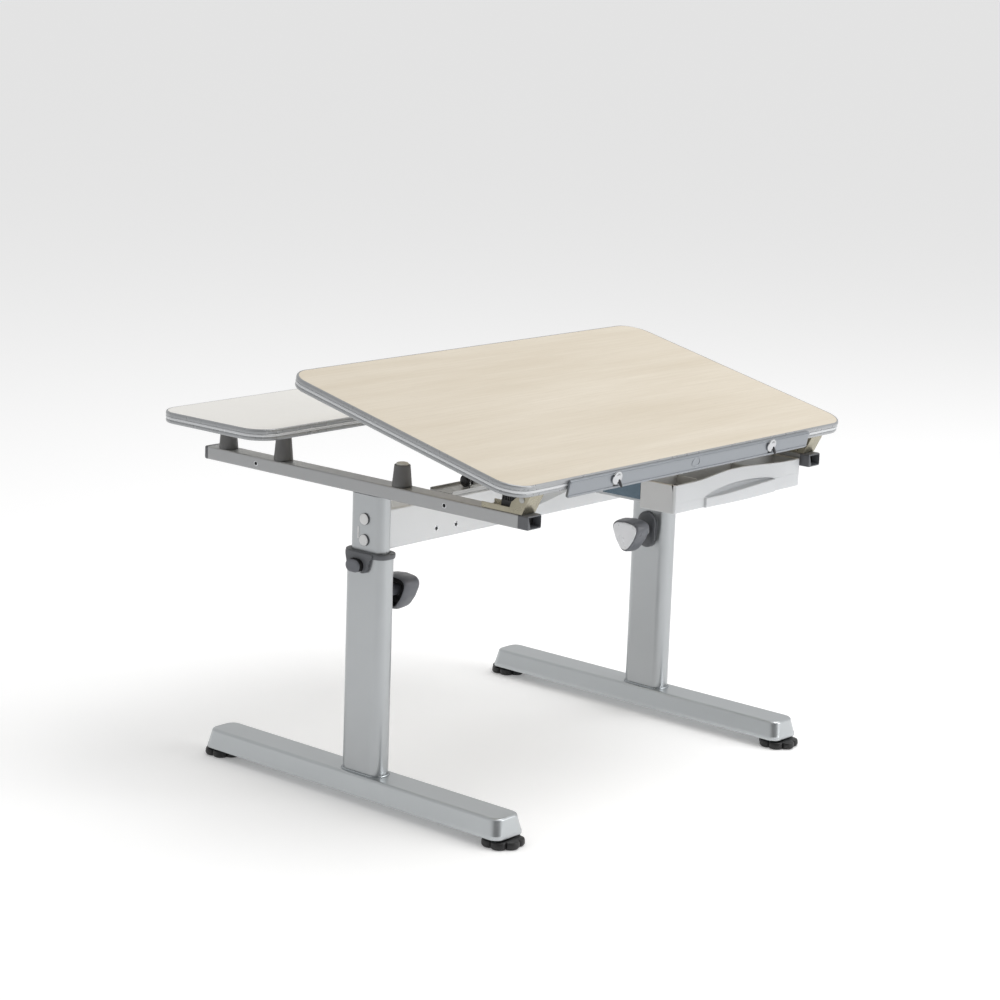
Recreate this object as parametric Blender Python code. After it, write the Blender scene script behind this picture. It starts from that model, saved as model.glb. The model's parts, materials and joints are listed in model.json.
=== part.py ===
"""Drafting table: a height-adjustable desk with a tilting top, a fixed rear shelf and a pencil drawer.

The feet carry two telescoping columns. The upper columns carry a crossbeam and two side rails. The rails
carry the shelf on tapered spacers and the tilting top on two front hinges. A two-part support between the
beam and the top holds the tilt, and a shallow drawer hangs in front of the beam on telescopic slides.

Frame: +X to the right of a person seated at the front, +Y to the rear, +Z up, floor at z = 0.
All sizes below are in millimetres; the meshes are made in metres.
"""
import math

import bmesh
import bpy
from mathutils import Matrix, Vector

METRES_PER_MM = 0.001
GAP = 0.3                       # left between pieces that touch
CENTRE_Y = 13.6                 # middle of the whole object's depth, measured from the middle of the feet
CORNER_STEPS = 4                # segments in a rounded corner
ROUND_STEPS = 16                # segments in a full circle
SMOOTH_ANGLE = math.radians(35)
CUT_PAST = 5.0                  # how far a cutter runs beyond the face it opens
SINK = 1.0                      # how far a joined solid reaches into its neighbour

# Feet and levelling feet
FOOT_LENGTH = 600.0
FOOT_WIDTH = 62.0
FOOT_TOP_WIDTH = 51.0
FOOT_HEIGHT = 30.0
FOOT_WALL = 2.0
FOOT_END_RADIUS = 14.0
FOOT_UNDERSIDE = 14.0
LEVELER_Y = 284.0
LEVELER_RADIUS = 30.0
LEVELER_LOBES = 7
LEVELER_LOBE = 0.07             # how far the lobes stand out, as a fraction of the radius
STUD_RADIUS = 5.0
BOSS_RADIUS = 10.0
STUD_TOP = 38.0

# Columns
COLUMN_X = 336.0
COLUMN_Y = -15.0
LOWER_WIDTH = 35.0
LOWER_DEPTH = 76.0
LOWER_RADIUS = 15.0
LOWER_WALL = 1.8
LOWER_TOP = 371.5
UPPER_WIDTH = 27.0
UPPER_DEPTH = 64.0
UPPER_RADIUS = 12.0
UPPER_WALL = 1.6
UPPER_BOTTOM = 120.0
COLLAR_SLEEVE_BOTTOM = 325.0
COLLAR_LIP_BOTTOM = 368.5
COLLAR_TOP = 377.0
COLLAR_WALL = 2.2
SKIRT_MARGIN = 3.5              # width of the skirt around the button
SKIRT_RISE = 3.0                # how much further the skirt reaches above the button, to meet the lip
SKIRT_THICKNESS = 4.5
BUTTON_Y = -8.0
BUTTON_Z = 357.0
BUTTON_DEPTH = 28.0
BUTTON_HEIGHT = 19.0
BUTTON_TRAVEL = 2.0
BUTTON_LENGTH = 8.5

# Locking knobs
KNOB_Y = -16.0
KNOB_Z = 305.0
KNOB_BASE_DEPTH = 36.0
KNOB_BASE_HEIGHT = 60.0
KNOB_BASE_THICKNESS = 5.0
KNOB_BASE_RISE = 5.0            # from the knob's axis up to the middle of its bearing plate
KNOB_BORE_CLEARANCE = 0.7
KNOB_RADIUS = 26.0
KNOB_LOBE = 0.12                # how far the three lobes stand out, as a fraction of the radius
KNOB_STEM_RADIUS = 5.5
KNOB_NECK_RADIUS = 9.0
KNOB_HEAD_BACK = 296.0          # distance from the middle plane, as are the next two
KNOB_HEAD_FRONT = 258.0
KNOB_TIP = 322.2

# Side rails and what stands on them
RAIL_TOP = 480.5
RAIL_HEIGHT = 20.0
RAIL_WIDTH = 30.0
RAIL_WALL = 1.5
RAIL_RADIUS = 2.5
RAIL_FRONT = -303.0
RAIL_REAR = 315.0
RAIL_HOLE_YS = (-168.0, 210.0)
RAIL_HOLE_RADIUS = 2.6
RAIL_HOLE_Z = 470.5
PLUG_LENGTH = 18.0
PLUG_STUB = 15.0
SPACER_YS = (167.0, 285.0)
BUMPER_Y = -73.0
SPACER_BASE_RADIUS = 14.5
SPACER_TOP_RADIUS = 11.5

# Crossbeam and its covers
BEAM_TOP = 438.5
BEAM_HEIGHT = 60.0
BEAM_FRONT = -35.0
BEAM_DEPTH = 40.0
BEAM_WALL = 2.0
BEAM_HOLE_XS = (-218.0, -175.0)
BEAM_HOLE_Z = 394.5
BEAM_HOLE_RADIUS = 2.6
BEAM_RADIUS = 3.5
CAP_ZS = (393.5, 424.5)
CAP_RADIUS = 8.5
CAP_STEM_RADIUS = 4.8
CAP_STEM = 3.0
CAP_THICKNESS = 2.7

# Boards
BOARD_WIDTH = 800.0
BOARD_THICKNESS = 17.0
BOARD_RADIUS = 40.0
BAND_THICKNESS = 3.0
BAND_ROUNDING = 1.2
DESK_TOP = 533.0                # lowest working height, shelf and flat top level with each other
SHELF_DEPTH = 230.0
SHELF_REAR = 380.0
TOP_DEPTH = 450.0
TOP_FRONT = -331.0              # front edge with the top lying flat

# Tilt hinge and its support linkage, with the top lying flat
HINGE_Y = -309.0
HINGE_Z = 502.0
REST_TILT = math.radians(12.9)
HINGE_WIDTH = 29.0
HINGE_SHEET = 2.0
HINGE_REAR = -236.0
HINGE_LEAN = 14.0               # how far the bracket's nose overhangs its foot
HINGE_EDGE = 7.5                # height of the low flanges along the bracket
HINGE_PIN_RADIUS = 3.0
KNUCKLE_RADIUS = 5.2
LEAF_LENGTH = 52.0
LEAF_SHEET = 2.2
LEAF_WIDTH = 22.0
STRUT_X = 130.0
STRUT_SHEET = 3.0
STRUT_HALF_WIDTH = 8.0
LOWER_PIVOT_Y = -20.0
LOWER_PIVOT_Z = 453.0
UPPER_PIVOT_REACH = 284.0       # from the hinge axis along the top
UPPER_PIVOT_RISE = 2.0          # from the hinge axis square to the top
LOWER_ARM = 198.0
UPPER_ARM = 188.0
PIVOT_ROD_RADIUS = 4.0
OPEN_EYE_RADIUS = 7.8           # the knee's eye is wide, so the two arms never bind on its rod
KNEE_EYE_OUTER = 12.0
TILT_BASE_HALF_LENGTH = 185.0
TILT_BASE_REAR = 10.0
SUPPORT_PLATE = 3.0             # thickness of the plates that carry the lugs
CHANNEL_LIP = 6.0
TOP_PLATE_HALF_WIDTH = 15.0

# Paper ledge on the front edge of the top
LEDGE_HALF_LENGTH = 287.0
LEDGE_THICKNESS = 5.0
LEDGE_HEIGHT = 26.0
LEDGE_DROP = 1.5                # from the top's surface down to the lowered ledge
LEDGE_TRAVEL = 12.0
THUMBSCREW_X = 186.0
THUMBSCREW_DROP = 10.0
THUMBSCREW_RADIUS = 3.0
THUMBSCREW_HEAD_RADIUS = 10.0

# Drawer and its slides
DRAWER_X = 159.0
DRAWER_WIDTH = 320.0
DRAWER_FRONT = -306.0
DRAWER_HEAD_REAR = -242.0
DRAWER_REAR = -145.0
DRAWER_TOP = 473.0
DRAWER_BOTTOM = 430.0
DRAWER_WALL = 2.5
DRAWER_BODY_HALF_WIDTH = 143.3
DRAWER_BODY_TOP = 470.0
DRAWER_BODY_BOTTOM = 434.0
DRAWER_DIVIDERS = (70.0, 208.0)  # middle of each divider wall
RECESS_CENTRE_X = 162.0
RECESS_HALF_WIDTH = 86.0
RECESS_ARC_TOP = 458.0
RECESS_DEPTH = 9.0
RECESS_HEIGHT = 14.0
SLIDE_FRONT = -240.0
SLIDE_REAR = -100.0
SLIDE_Z = 454.5
SLIDE_HEIGHT = 26.0
SLIDE_SHEET = 1.2
SLIDE_PLATE_WIDTH = 43.0        # of the plate that screws to the beam
SLIDE_PLATE_BOTTOM = 384.0
SLIDE_PLATE_TOP = 436.0
SLIDE_ARM_FRONT = -170.0

LEFT, RIGHT = -1, 1
SIDES = (("left", LEFT), ("right", RIGHT))


# ---------------------------------------------------------------- outlines

def rounded_rect(width, height, radius, centre=(0.0, 0.0)):
    """Counter-clockwise rectangle with rounded corners."""
    points = []
    for quarter in range(4):
        corner_u = (width / 2 - radius) * (1 if quarter in (0, 3) else -1)
        corner_v = (height / 2 - radius) * (1 if quarter in (0, 1) else -1)
        for step in range(CORNER_STEPS + 1):
            angle = math.pi / 2 * (quarter + step / CORNER_STEPS)
            points.append((centre[0] + corner_u + radius * math.cos(angle),
                           centre[1] + corner_v + radius * math.sin(angle)))
    return points


def circle(radius, centre=(0.0, 0.0), steps=ROUND_STEPS):
    """Counter-clockwise circle."""
    return [(centre[0] + radius * math.cos(2 * math.pi * i / steps),
             centre[1] + radius * math.sin(2 * math.pi * i / steps)) for i in range(steps)]


def rectangle(u0, u1, v0, v1):
    """Counter-clockwise rectangle between two corners."""
    return [(u0, v0), (u1, v0), (u1, v1), (u0, v1)]


def lobed(radius, lobes, depth, centre=(0.0, 0.0), steps=ROUND_STEPS, phase=0.0):
    """Round outline whose radius swells in equal lobes."""
    points = []
    for i in range(steps):
        angle = 2 * math.pi * i / steps
        reach = radius * (1 + depth * math.cos(lobes * (angle - phase)))
        points.append((centre[0] + reach * math.cos(angle), centre[1] + reach * math.sin(angle)))
    return points


def capsule(start, end, radius, steps=8):
    """Outline of a bar with round ends between two points."""
    heading = math.atan2(end[1] - start[1], end[0] - start[0])
    points = []
    for middle, first in ((end, heading - math.pi / 2), (start, heading + math.pi / 2)):
        for step in range(steps + 1):
            angle = first + math.pi * step / steps
            points.append((middle[0] + radius * math.cos(angle), middle[1] + radius * math.sin(angle)))
    return points


def on_axis(outline, axis, distance):
    """Outline as 3-D points on the plane at this distance along X, Y or Z."""
    if axis == "X":
        return [(distance, u, v) for u, v in outline]
    if axis == "Y":
        return [(u, distance, v) for u, v in outline]
    return [(u, v, distance) for u, v in outline]


# ---------------------------------------------------------------- solids

def material(name, colour, roughness, metallic):
    """Principled material, made once for each name."""
    found = bpy.data.materials.get(name)
    if found:
        return found
    made = bpy.data.materials.new(name)
    made.use_nodes = True
    shader = made.node_tree.nodes["Principled BSDF"]
    shader.inputs["Base Color"].default_value = (*colour, 1.0)
    shader.inputs["Roughness"].default_value = roughness
    shader.inputs["Metallic"].default_value = metallic
    made.diffuse_color = (*colour, 1.0)
    return made


def to_metres(point):
    """Millimetres from the middle of the feet to metres from the middle of the object."""
    return Vector((point[0], point[1] - CENTRE_Y, point[2])) * METRES_PER_MM


def loft(name, loops, finish, ring=False):
    """Solid through matching loops of points: capped at both ends, or closed on itself as a ring."""
    shape = bmesh.new()
    rows = [[shape.verts.new(to_metres(point)) for point in loop] for loop in loops]
    pairs = list(zip(rows, rows[1:]))
    if ring:
        pairs.append((rows[-1], rows[0]))
    else:
        shape.faces.new(rows[0])
        shape.faces.new(rows[-1])
    for near, far in pairs:
        for i in range(len(near)):
            j = (i + 1) % len(near)
            shape.faces.new((near[i], near[j], far[j], far[i]))
    bmesh.ops.recalc_face_normals(shape, faces=shape.faces)
    mesh = bpy.data.meshes.new(name)
    shape.to_mesh(mesh)
    shape.free()
    mesh.shade_smooth()
    mesh.set_sharp_from_angle(angle=SMOOTH_ANGLE)
    mesh.materials.append(finish)
    made = bpy.data.objects.new(name, mesh)
    bpy.context.collection.objects.link(made)
    return made


def prism(name, outline, axis, start, end, finish):
    """Outline pushed straight along an axis."""
    return loft(name, [on_axis(outline, axis, start), on_axis(outline, axis, end)], finish)


def tube(name, outer, inner, axis, start, end, finish):
    """Open tube between two outlines with the same number of points."""
    loops = [on_axis(outer, axis, start), on_axis(outer, axis, end),
             on_axis(inner, axis, end), on_axis(inner, axis, start)]
    return loft(name, loops, finish, ring=True)


def combine(target, tool, operation):
    """Apply one Boolean to the target and remove the tool."""
    boolean = target.modifiers.new(operation.lower(), "BOOLEAN")
    boolean.object = tool
    boolean.operation = operation
    boolean.solver = "EXACT"
    graph = bpy.context.evaluated_depsgraph_get()
    mesh = bpy.data.meshes.new_from_object(target.evaluated_get(graph))
    target.modifiers.clear()
    target.data = mesh
    mesh.name = target.name
    bpy.data.objects.remove(tool, do_unlink=True)
    return target


def join(target, *tools):
    """Union of overlapping solids."""
    for tool in tools:
        combine(target, tool, "UNION")
    return target


def cut(target, *tools):
    """Target with the tools taken out of it."""
    for tool in tools:
        combine(target, tool, "DIFFERENCE")
    return target


def tool_prism(outline, axis, start, end):
    """Short-lived solid for a union or a cut."""
    return prism("tool", outline, axis, start, end, steel_paint())


# ---------------------------------------------------------------- joints

def pivot(name, point, parent=None):
    """Empty on a joint's axis; a parent is another such empty."""
    made = bpy.data.objects.new(name, None)
    bpy.context.collection.objects.link(made)
    place = to_metres(point)
    made["place"] = place
    if parent:
        made.parent = parent
        place = place - Vector(parent["place"])
    made.location = place
    return made


def hang(children, holder):
    """Parent objects to an empty that hasn't been turned yet, leaving them where they are."""
    for child in children:
        child.parent = holder
        child.matrix_parent_inverse = Matrix.Translation(-Vector(holder["place"]))


# ---------------------------------------------------------------- materials

def steel_paint():
    return material("silver_paint", (0.37, 0.39, 0.40), 0.42, 0.6)


def pale_paint():
    return material("pale_paint", (0.70, 0.72, 0.74), 0.38, 0.4)


def rail_paint():
    return material("rail_paint", (0.28, 0.28, 0.28), 0.45, 0.5)


def grey_plastic():
    return material("grey_plastic", (0.10, 0.105, 0.11), 0.5, 0.0)


def spacer_plastic():
    return material("spacer_plastic", (0.12, 0.12, 0.12), 0.55, 0.0)


def black_plastic():
    return material("black_plastic", (0.012, 0.012, 0.012), 0.5, 0.0)


def cap_plastic():
    return material("cap_plastic", (0.72, 0.72, 0.72), 0.4, 0.0)


def tray_plastic():
    return material("tray_plastic", (0.60, 0.61, 0.62), 0.45, 0.0)


def zinc():
    return material("zinc", (0.42, 0.40, 0.33), 0.35, 1.0)


def blue_zinc():
    return material("slide_steel", (0.30, 0.35, 0.40), 0.32, 1.0)


def ledge_metal():
    return material("ledge_aluminium", (0.27, 0.29, 0.31), 0.4, 0.9)


def chrome():
    return material("chrome", (0.75, 0.75, 0.75), 0.12, 1.0)


def maple():
    return material("maple_laminate", (0.70, 0.63, 0.53), 0.45, 0.0)


def white_laminate():
    return material("white_laminate", (0.83, 0.82, 0.79), 0.45, 0.0)


def edge_plastic():
    return material("edge_band", (0.35, 0.36, 0.37), 0.4, 0.0)


# ---------------------------------------------------------------- base

def foot(label, side):
    """Pressed-steel foot, open underneath, with a threaded boss over each levelling foot."""
    x = side * COLUMN_X
    top = FOOT_UNDERSIDE + FOOT_HEIGHT
    slope = (FOOT_WIDTH - FOOT_TOP_WIDTH) / 2
    outer = ((0.0, FOOT_UNDERSIDE), (0.8 * slope, top - 4.0), (slope, top - 1.2), (slope + FOOT_WALL, top))
    loops = []
    for inset, z in outer:
        loops.append(on_axis(rounded_rect(FOOT_WIDTH - 2 * inset, FOOT_LENGTH - 2 * inset,
                                          FOOT_END_RADIUS, (x, 0.0)), "Z", z))
    inner = []
    for inset, z in ((FOOT_WALL, FOOT_UNDERSIDE), (slope + FOOT_WALL, top - 1.5 * FOOT_WALL)):
        inner.append(on_axis(rounded_rect(FOOT_WIDTH - 2 * inset, FOOT_LENGTH - 2 * inset,
                                          FOOT_END_RADIUS - FOOT_WALL, (x, 0.0)), "Z", z))
    shell = loft("foot_" + label, inner[::-1] + loops, steel_paint())
    for end in (-1, 1):
        middle = (x, end * LEVELER_Y)
        boss = tool_prism(circle(BOSS_RADIUS, middle), "Z", FOOT_UNDERSIDE + SINK, top - SINK)
        bore = tool_prism(circle(STUD_RADIUS + GAP, middle), "Z", FOOT_UNDERSIDE - CUT_PAST, STUD_TOP + 2.0)
        join(shell, boss)
        cut(shell, bore)
    return shell


def leveler(label, side, end_label, end):
    """Lobed hand wheel under a foot, with its threaded stud."""
    middle = (side * COLUMN_X, end * LEVELER_Y)
    steps = LEVELER_LOBES * 4
    wheel_top = FOOT_UNDERSIDE - 0.5
    loops = []
    for scale, z in ((0.88, 0.0), (1.0, 2.5), (0.98, 10.5), (0.90, wheel_top)):
        outline = lobed(LEVELER_RADIUS * scale, LEVELER_LOBES, LEVELER_LOBE, middle, steps)
        loops.append(on_axis(outline, "Z", z))
    for z in (wheel_top, STUD_TOP):
        loops.append(on_axis(circle(STUD_RADIUS, middle, steps), "Z", z))
    wheel = loft(f"leveler_{end_label}_{label}", loops, black_plastic())
    holder = pivot(wheel.name + "_axis", (middle[0], middle[1], 0.0))
    hang([wheel], holder)
    return wheel


def lower_column(label, side):
    """Outer telescopic tube, standing on the foot, with the lock bolt's hole in its inner face."""
    x = side * COLUMN_X
    outer = rounded_rect(LOWER_WIDTH, LOWER_DEPTH, LOWER_RADIUS, (x, COLUMN_Y))
    inner = rounded_rect(LOWER_WIDTH - 2 * LOWER_WALL, LOWER_DEPTH - 2 * LOWER_WALL,
                         LOWER_RADIUS - LOWER_WALL, (x, COLUMN_Y))
    bottom = FOOT_UNDERSIDE + FOOT_HEIGHT + GAP
    column = tube("lower_column_" + label, outer, inner, "Z", bottom, LOWER_TOP, steel_paint())
    hole = tool_prism(circle(KNOB_STEM_RADIUS + KNOB_BORE_CLEARANCE, (KNOB_Y, KNOB_Z)), "X",
                      side * (COLUMN_X - LOWER_WIDTH), side * COLUMN_X)
    return cut(column, hole)


def collar(label, side):
    """Guide bush pushed into the lower column, with a lip over its top and a skirt around the button."""
    x = side * COLUMN_X

    def oval(width, depth, radius, z):
        return on_axis(rounded_rect(width, depth, radius, (x, COLUMN_Y)), "Z", z)

    bore = (UPPER_WIDTH + 2 * GAP, UPPER_DEPTH + 2 * GAP, UPPER_RADIUS + GAP)
    sleeve = (LOWER_WIDTH - 2 * (LOWER_WALL + GAP), LOWER_DEPTH - 2 * (LOWER_WALL + GAP),
              LOWER_RADIUS - LOWER_WALL - GAP)
    over = (LOWER_WIDTH + 2 * GAP, LOWER_DEPTH + 2 * GAP, LOWER_RADIUS + GAP)
    lip = (over[0] + 2 * COLLAR_WALL, over[1] + 2 * COLLAR_WALL, over[2] + COLLAR_WALL)
    lip_edge = (lip[0] - 2.0, lip[1] - 2.0, lip[2] - 1.0)
    loops = [oval(*bore, COLLAR_SLEEVE_BOTTOM), oval(*bore, COLLAR_TOP), oval(*lip_edge, COLLAR_TOP),
             oval(*lip, COLLAR_TOP - 1.2), oval(*lip, COLLAR_LIP_BOTTOM),
             oval(*over, COLLAR_LIP_BOTTOM), oval(*over, LOWER_TOP + GAP),
             oval(*sleeve, LOWER_TOP + GAP), oval(*sleeve, COLLAR_SLEEVE_BOTTOM)]
    bush = loft("collar_" + label, loops, grey_plastic(), ring=True)
    face = COLUMN_X + LOWER_WIDTH / 2 + GAP
    skirt_outline = rounded_rect(BUTTON_DEPTH + 2 * SKIRT_MARGIN, BUTTON_HEIGHT + 2 * SKIRT_MARGIN + SKIRT_RISE,
                                 BUTTON_HEIGHT / 2 + SKIRT_MARGIN - 1.0, (BUTTON_Y, BUTTON_Z + SKIRT_RISE / 2))
    skirt = tool_prism(skirt_outline, "X", side * face, side * (face + SKIRT_THICKNESS))
    pocket_outline = rounded_rect(BUTTON_DEPTH + 2 * GAP, BUTTON_HEIGHT + 2 * GAP,
                                  BUTTON_HEIGHT / 2 + GAP - 0.01, (BUTTON_Y, BUTTON_Z))
    pocket = tool_prism(pocket_outline, "X", side * (face + SINK), side * (face + SKIRT_THICKNESS + CUT_PAST))
    join(bush, skirt)
    return cut(bush, pocket)


def collar_button(label, side):
    """Oval button that stands out of the collar's skirt."""
    back = COLUMN_X + LOWER_WIDTH / 2 + GAP + SINK + GAP + BUTTON_TRAVEL
    edge = back + BUTTON_LENGTH
    loops = []
    for inset, reach in ((0.0, back), (0.0, edge), (0.8, edge + 1.2), (2.6, edge + 1.9)):
        outline = rounded_rect(BUTTON_DEPTH - 2 * inset, BUTTON_HEIGHT - 2 * inset,
                               BUTTON_HEIGHT / 2 - inset - 0.01, (BUTTON_Y, BUTTON_Z))
        loops.append(on_axis(outline, "X", side * reach))
    button = loft("collar_button_" + label, loops, grey_plastic())
    hang([button], pivot(button.name + "_axis", (side * back, BUTTON_Y, BUTTON_Z)))
    return button


def knob_base(label, side):
    """Oval bearing plate for the locking knob on the column's inner face."""
    outer = rounded_rect(KNOB_BASE_DEPTH, KNOB_BASE_HEIGHT, KNOB_BASE_DEPTH / 2 - 0.01,
                         (KNOB_Y, KNOB_Z + KNOB_BASE_RISE))
    bore_size = 2 * (KNOB_STEM_RADIUS + KNOB_BORE_CLEARANCE)
    bore = rounded_rect(bore_size, bore_size, bore_size / 2 - 0.01, (KNOB_Y, KNOB_Z))
    face = COLUMN_X - LOWER_WIDTH / 2 - GAP
    return tube("knob_base_" + label, outer, bore, "X", side * face, side * (face - KNOB_BASE_THICKNESS),
                grey_plastic())


def locking_knob(label, side):
    """Three-lobed hand knob with the bolt that presses on the upper column."""
    steps = 24
    middle = (KNOB_Y, KNOB_Z)
    front_of_base = COLUMN_X - LOWER_WIDTH / 2 - GAP - KNOB_BASE_THICKNESS - GAP
    loops = [on_axis(circle(KNOB_STEM_RADIUS, middle, steps), "X", side * KNOB_TIP),
             on_axis(circle(KNOB_STEM_RADIUS, middle, steps), "X", side * front_of_base),
             on_axis(circle(KNOB_NECK_RADIUS, middle, steps), "X", side * front_of_base),
             on_axis(circle(KNOB_NECK_RADIUS, middle, steps), "X", side * KNOB_HEAD_BACK)]
    head = ((0.80, KNOB_HEAD_BACK), (1.0, KNOB_HEAD_BACK - 8.0), (1.0, KNOB_HEAD_BACK - 18.0),
            (0.88, KNOB_HEAD_FRONT + 2.0), (0.80, KNOB_HEAD_FRONT))
    for scale, reach in head:
        outline = lobed(KNOB_RADIUS * scale, 3, KNOB_LOBE, middle, steps, phase=-math.pi / 2)
        loops.append(on_axis(outline, "X", side * reach))
    knob = loft("locking_knob_" + label, loops, grey_plastic())
    hang([knob], pivot(knob.name + "_axis", (side * KNOB_TIP, KNOB_Y, KNOB_Z)))
    return knob


# ---------------------------------------------------------------- lifting frame

def upper_column(label, side):
    """Inner telescopic tube with the beam bolts' holes."""
    x = side * COLUMN_X
    outer = rounded_rect(UPPER_WIDTH, UPPER_DEPTH, UPPER_RADIUS, (x, COLUMN_Y))
    inner = rounded_rect(UPPER_WIDTH - 2 * UPPER_WALL, UPPER_DEPTH - 2 * UPPER_WALL,
                         UPPER_RADIUS - UPPER_WALL, (x, COLUMN_Y))
    top = RAIL_TOP - RAIL_HEIGHT - GAP
    column = tube("upper_column_" + label, outer, inner, "Z", UPPER_BOTTOM, top, steel_paint())
    for z in CAP_ZS:
        hole = tool_prism(circle(CAP_STEM_RADIUS + GAP, (COLUMN_Y, z)), "X",
                          side * COLUMN_X, side * (COLUMN_X + UPPER_WIDTH))
        cut(column, hole)
    return column


def bolt_cap(label, side, row_label, z):
    """Round plastic cover with a short stem in the column's bolt hole."""
    face = COLUMN_X + UPPER_WIDTH / 2
    crown = face + GAP + CAP_THICKNESS
    profile = ((CAP_STEM_RADIUS, face - CAP_STEM), (CAP_STEM_RADIUS, face + GAP), (CAP_RADIUS, face + GAP),
               (CAP_RADIUS, crown - 1.2), (CAP_RADIUS * 0.75, crown))
    loops = [on_axis(circle(radius, (COLUMN_Y, z)), "X", side * reach) for radius, reach in profile]
    return loft(f"bolt_cap_{row_label}_{label}", loops, cap_plastic())


def side_rail(label, side):
    """Rectangular tube along the depth, with two cross-drilled holes."""
    middle = (side * COLUMN_X, RAIL_TOP - RAIL_HEIGHT / 2)
    outer = rounded_rect(RAIL_WIDTH, RAIL_HEIGHT, RAIL_RADIUS, middle)
    inner = rounded_rect(RAIL_WIDTH - 2 * RAIL_WALL, RAIL_HEIGHT - 2 * RAIL_WALL, RAIL_RADIUS - 1.3, middle)
    rail = tube("side_rail_" + label, outer, inner, "Y", RAIL_FRONT, RAIL_REAR, rail_paint())
    for y in RAIL_HOLE_YS:
        hole = tool_prism(circle(RAIL_HOLE_RADIUS, (y, RAIL_HOLE_Z), 12), "X",
                          side * (COLUMN_X - RAIL_WIDTH), side * (COLUMN_X + RAIL_WIDTH))
        cut(rail, hole)
    return rail


def rail_plug(label, side):
    """Hollow-fronted plastic plug in the rail's front end."""
    middle = (side * COLUMN_X, RAIL_TOP - RAIL_HEIGHT / 2)
    stub = (RAIL_WIDTH - 2 * RAIL_WALL - 0.8, RAIL_HEIGHT - 2 * RAIL_WALL - 0.8, 0.8)
    head_back = RAIL_FRONT - GAP
    front = RAIL_FRONT - PLUG_LENGTH
    profile = ((stub, RAIL_FRONT + PLUG_STUB), (stub, head_back),
               ((RAIL_WIDTH, RAIL_HEIGHT, RAIL_RADIUS), head_back),
               ((RAIL_WIDTH, RAIL_HEIGHT, RAIL_RADIUS), front + 2.0),
               ((RAIL_WIDTH - 4.0, RAIL_HEIGHT - 4.0, 1.5), front), ((19.0, 12.0, 1.0), front),
               ((17.0, 10.0, 0.8), front + 11.0))
    loops = [on_axis(rounded_rect(*size, middle), "Y", y) for size, y in profile]
    return loft("rail_plug_" + label, loops, grey_plastic())


def spacer(label, side, row_label, y):
    """Tapered plastic post between a rail and the shelf."""
    middle = (side * COLUMN_X, y)
    underside = DESK_TOP - BOARD_THICKNESS
    profile = ((SPACER_BASE_RADIUS, RAIL_TOP + GAP), (SPACER_TOP_RADIUS, underside - GAP))
    loops = [on_axis(circle(radius, middle), "Z", z) for radius, z in profile]
    return loft(f"shelf_spacer_{row_label}_{label}", loops, spacer_plastic())


def rest_bumper(label, side):
    """Free-standing post with a domed top, on which the flat top comes to rest."""
    middle = (side * COLUMN_X, BUMPER_Y)
    limit = DESK_TOP - BOARD_THICKNESS - GAP
    profile = ((SPACER_BASE_RADIUS, RAIL_TOP + GAP), (SPACER_TOP_RADIUS, limit - 3.6), (9.0, limit - 3.4),
               (8.0, limit - 1.1), (4.5, limit))
    loops = [on_axis(circle(radius, middle), "Z", z) for radius, z in profile]
    return loft("rest_bumper_" + label, loops, spacer_plastic())


def crossbeam():
    """Rectangular steel beam between the upper columns."""
    half = COLUMN_X - UPPER_WIDTH / 2 - GAP
    middle = (BEAM_FRONT + BEAM_DEPTH / 2, BEAM_TOP - BEAM_HEIGHT / 2)
    outer = rounded_rect(BEAM_DEPTH, BEAM_HEIGHT, BEAM_RADIUS, middle)
    inner = rounded_rect(BEAM_DEPTH - 2 * BEAM_WALL, BEAM_HEIGHT - 2 * BEAM_WALL,
                         BEAM_RADIUS - BEAM_WALL, middle)
    beam = tube("crossbeam", outer, inner, "X", -half, half, pale_paint())
    for x in BEAM_HOLE_XS:
        hole = tool_prism(circle(BEAM_HOLE_RADIUS, (x, BEAM_HOLE_Z), 12), "Y",
                          BEAM_FRONT - CUT_PAST, BEAM_FRONT + BEAM_WALL + CUT_PAST)
        cut(beam, hole)
    return beam


# ---------------------------------------------------------------- tilt hinge and support

def hinge_bracket(label, side):
    """Folded bracket on the rail with two cheeks around the hinge pin."""
    low = side * COLUMN_X - HINGE_WIDTH / 2
    high = side * COLUMN_X + HINGE_WIDTH / 2
    base_z = RAIL_TOP + GAP
    front = HINGE_Y
    nose = front - HINGE_LEAN
    top = HINGE_Z + 6.0
    edge_z = base_z + HINGE_EDGE
    cheek = [(HINGE_REAR, base_z), (HINGE_REAR, edge_z), (front + 22.0, edge_z), (front + 19.0, edge_z + 8.0),
             (front + 5.0, top), (nose, top), (front, base_z)]
    leaning_plate = [(front, base_z), (nose, top), (nose + HINGE_SHEET, top), (front + HINGE_SHEET, base_z)]
    bracket = prism("hinge_bracket_" + label, rectangle(low, high, front, HINGE_REAR), "Z",
                    base_z, base_z + HINGE_SHEET, zinc())
    for start in (low, high - HINGE_SHEET):
        join(bracket, tool_prism(cheek, "X", start, start + HINGE_SHEET))
    join(bracket, tool_prism(leaning_plate, "X", low + SINK, high - SINK))
    hole = tool_prism(circle(HINGE_PIN_RADIUS + GAP, (HINGE_Y, HINGE_Z)), "X",
                      low - CUT_PAST, high + CUT_PAST)
    return cut(bracket, hole)


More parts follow.
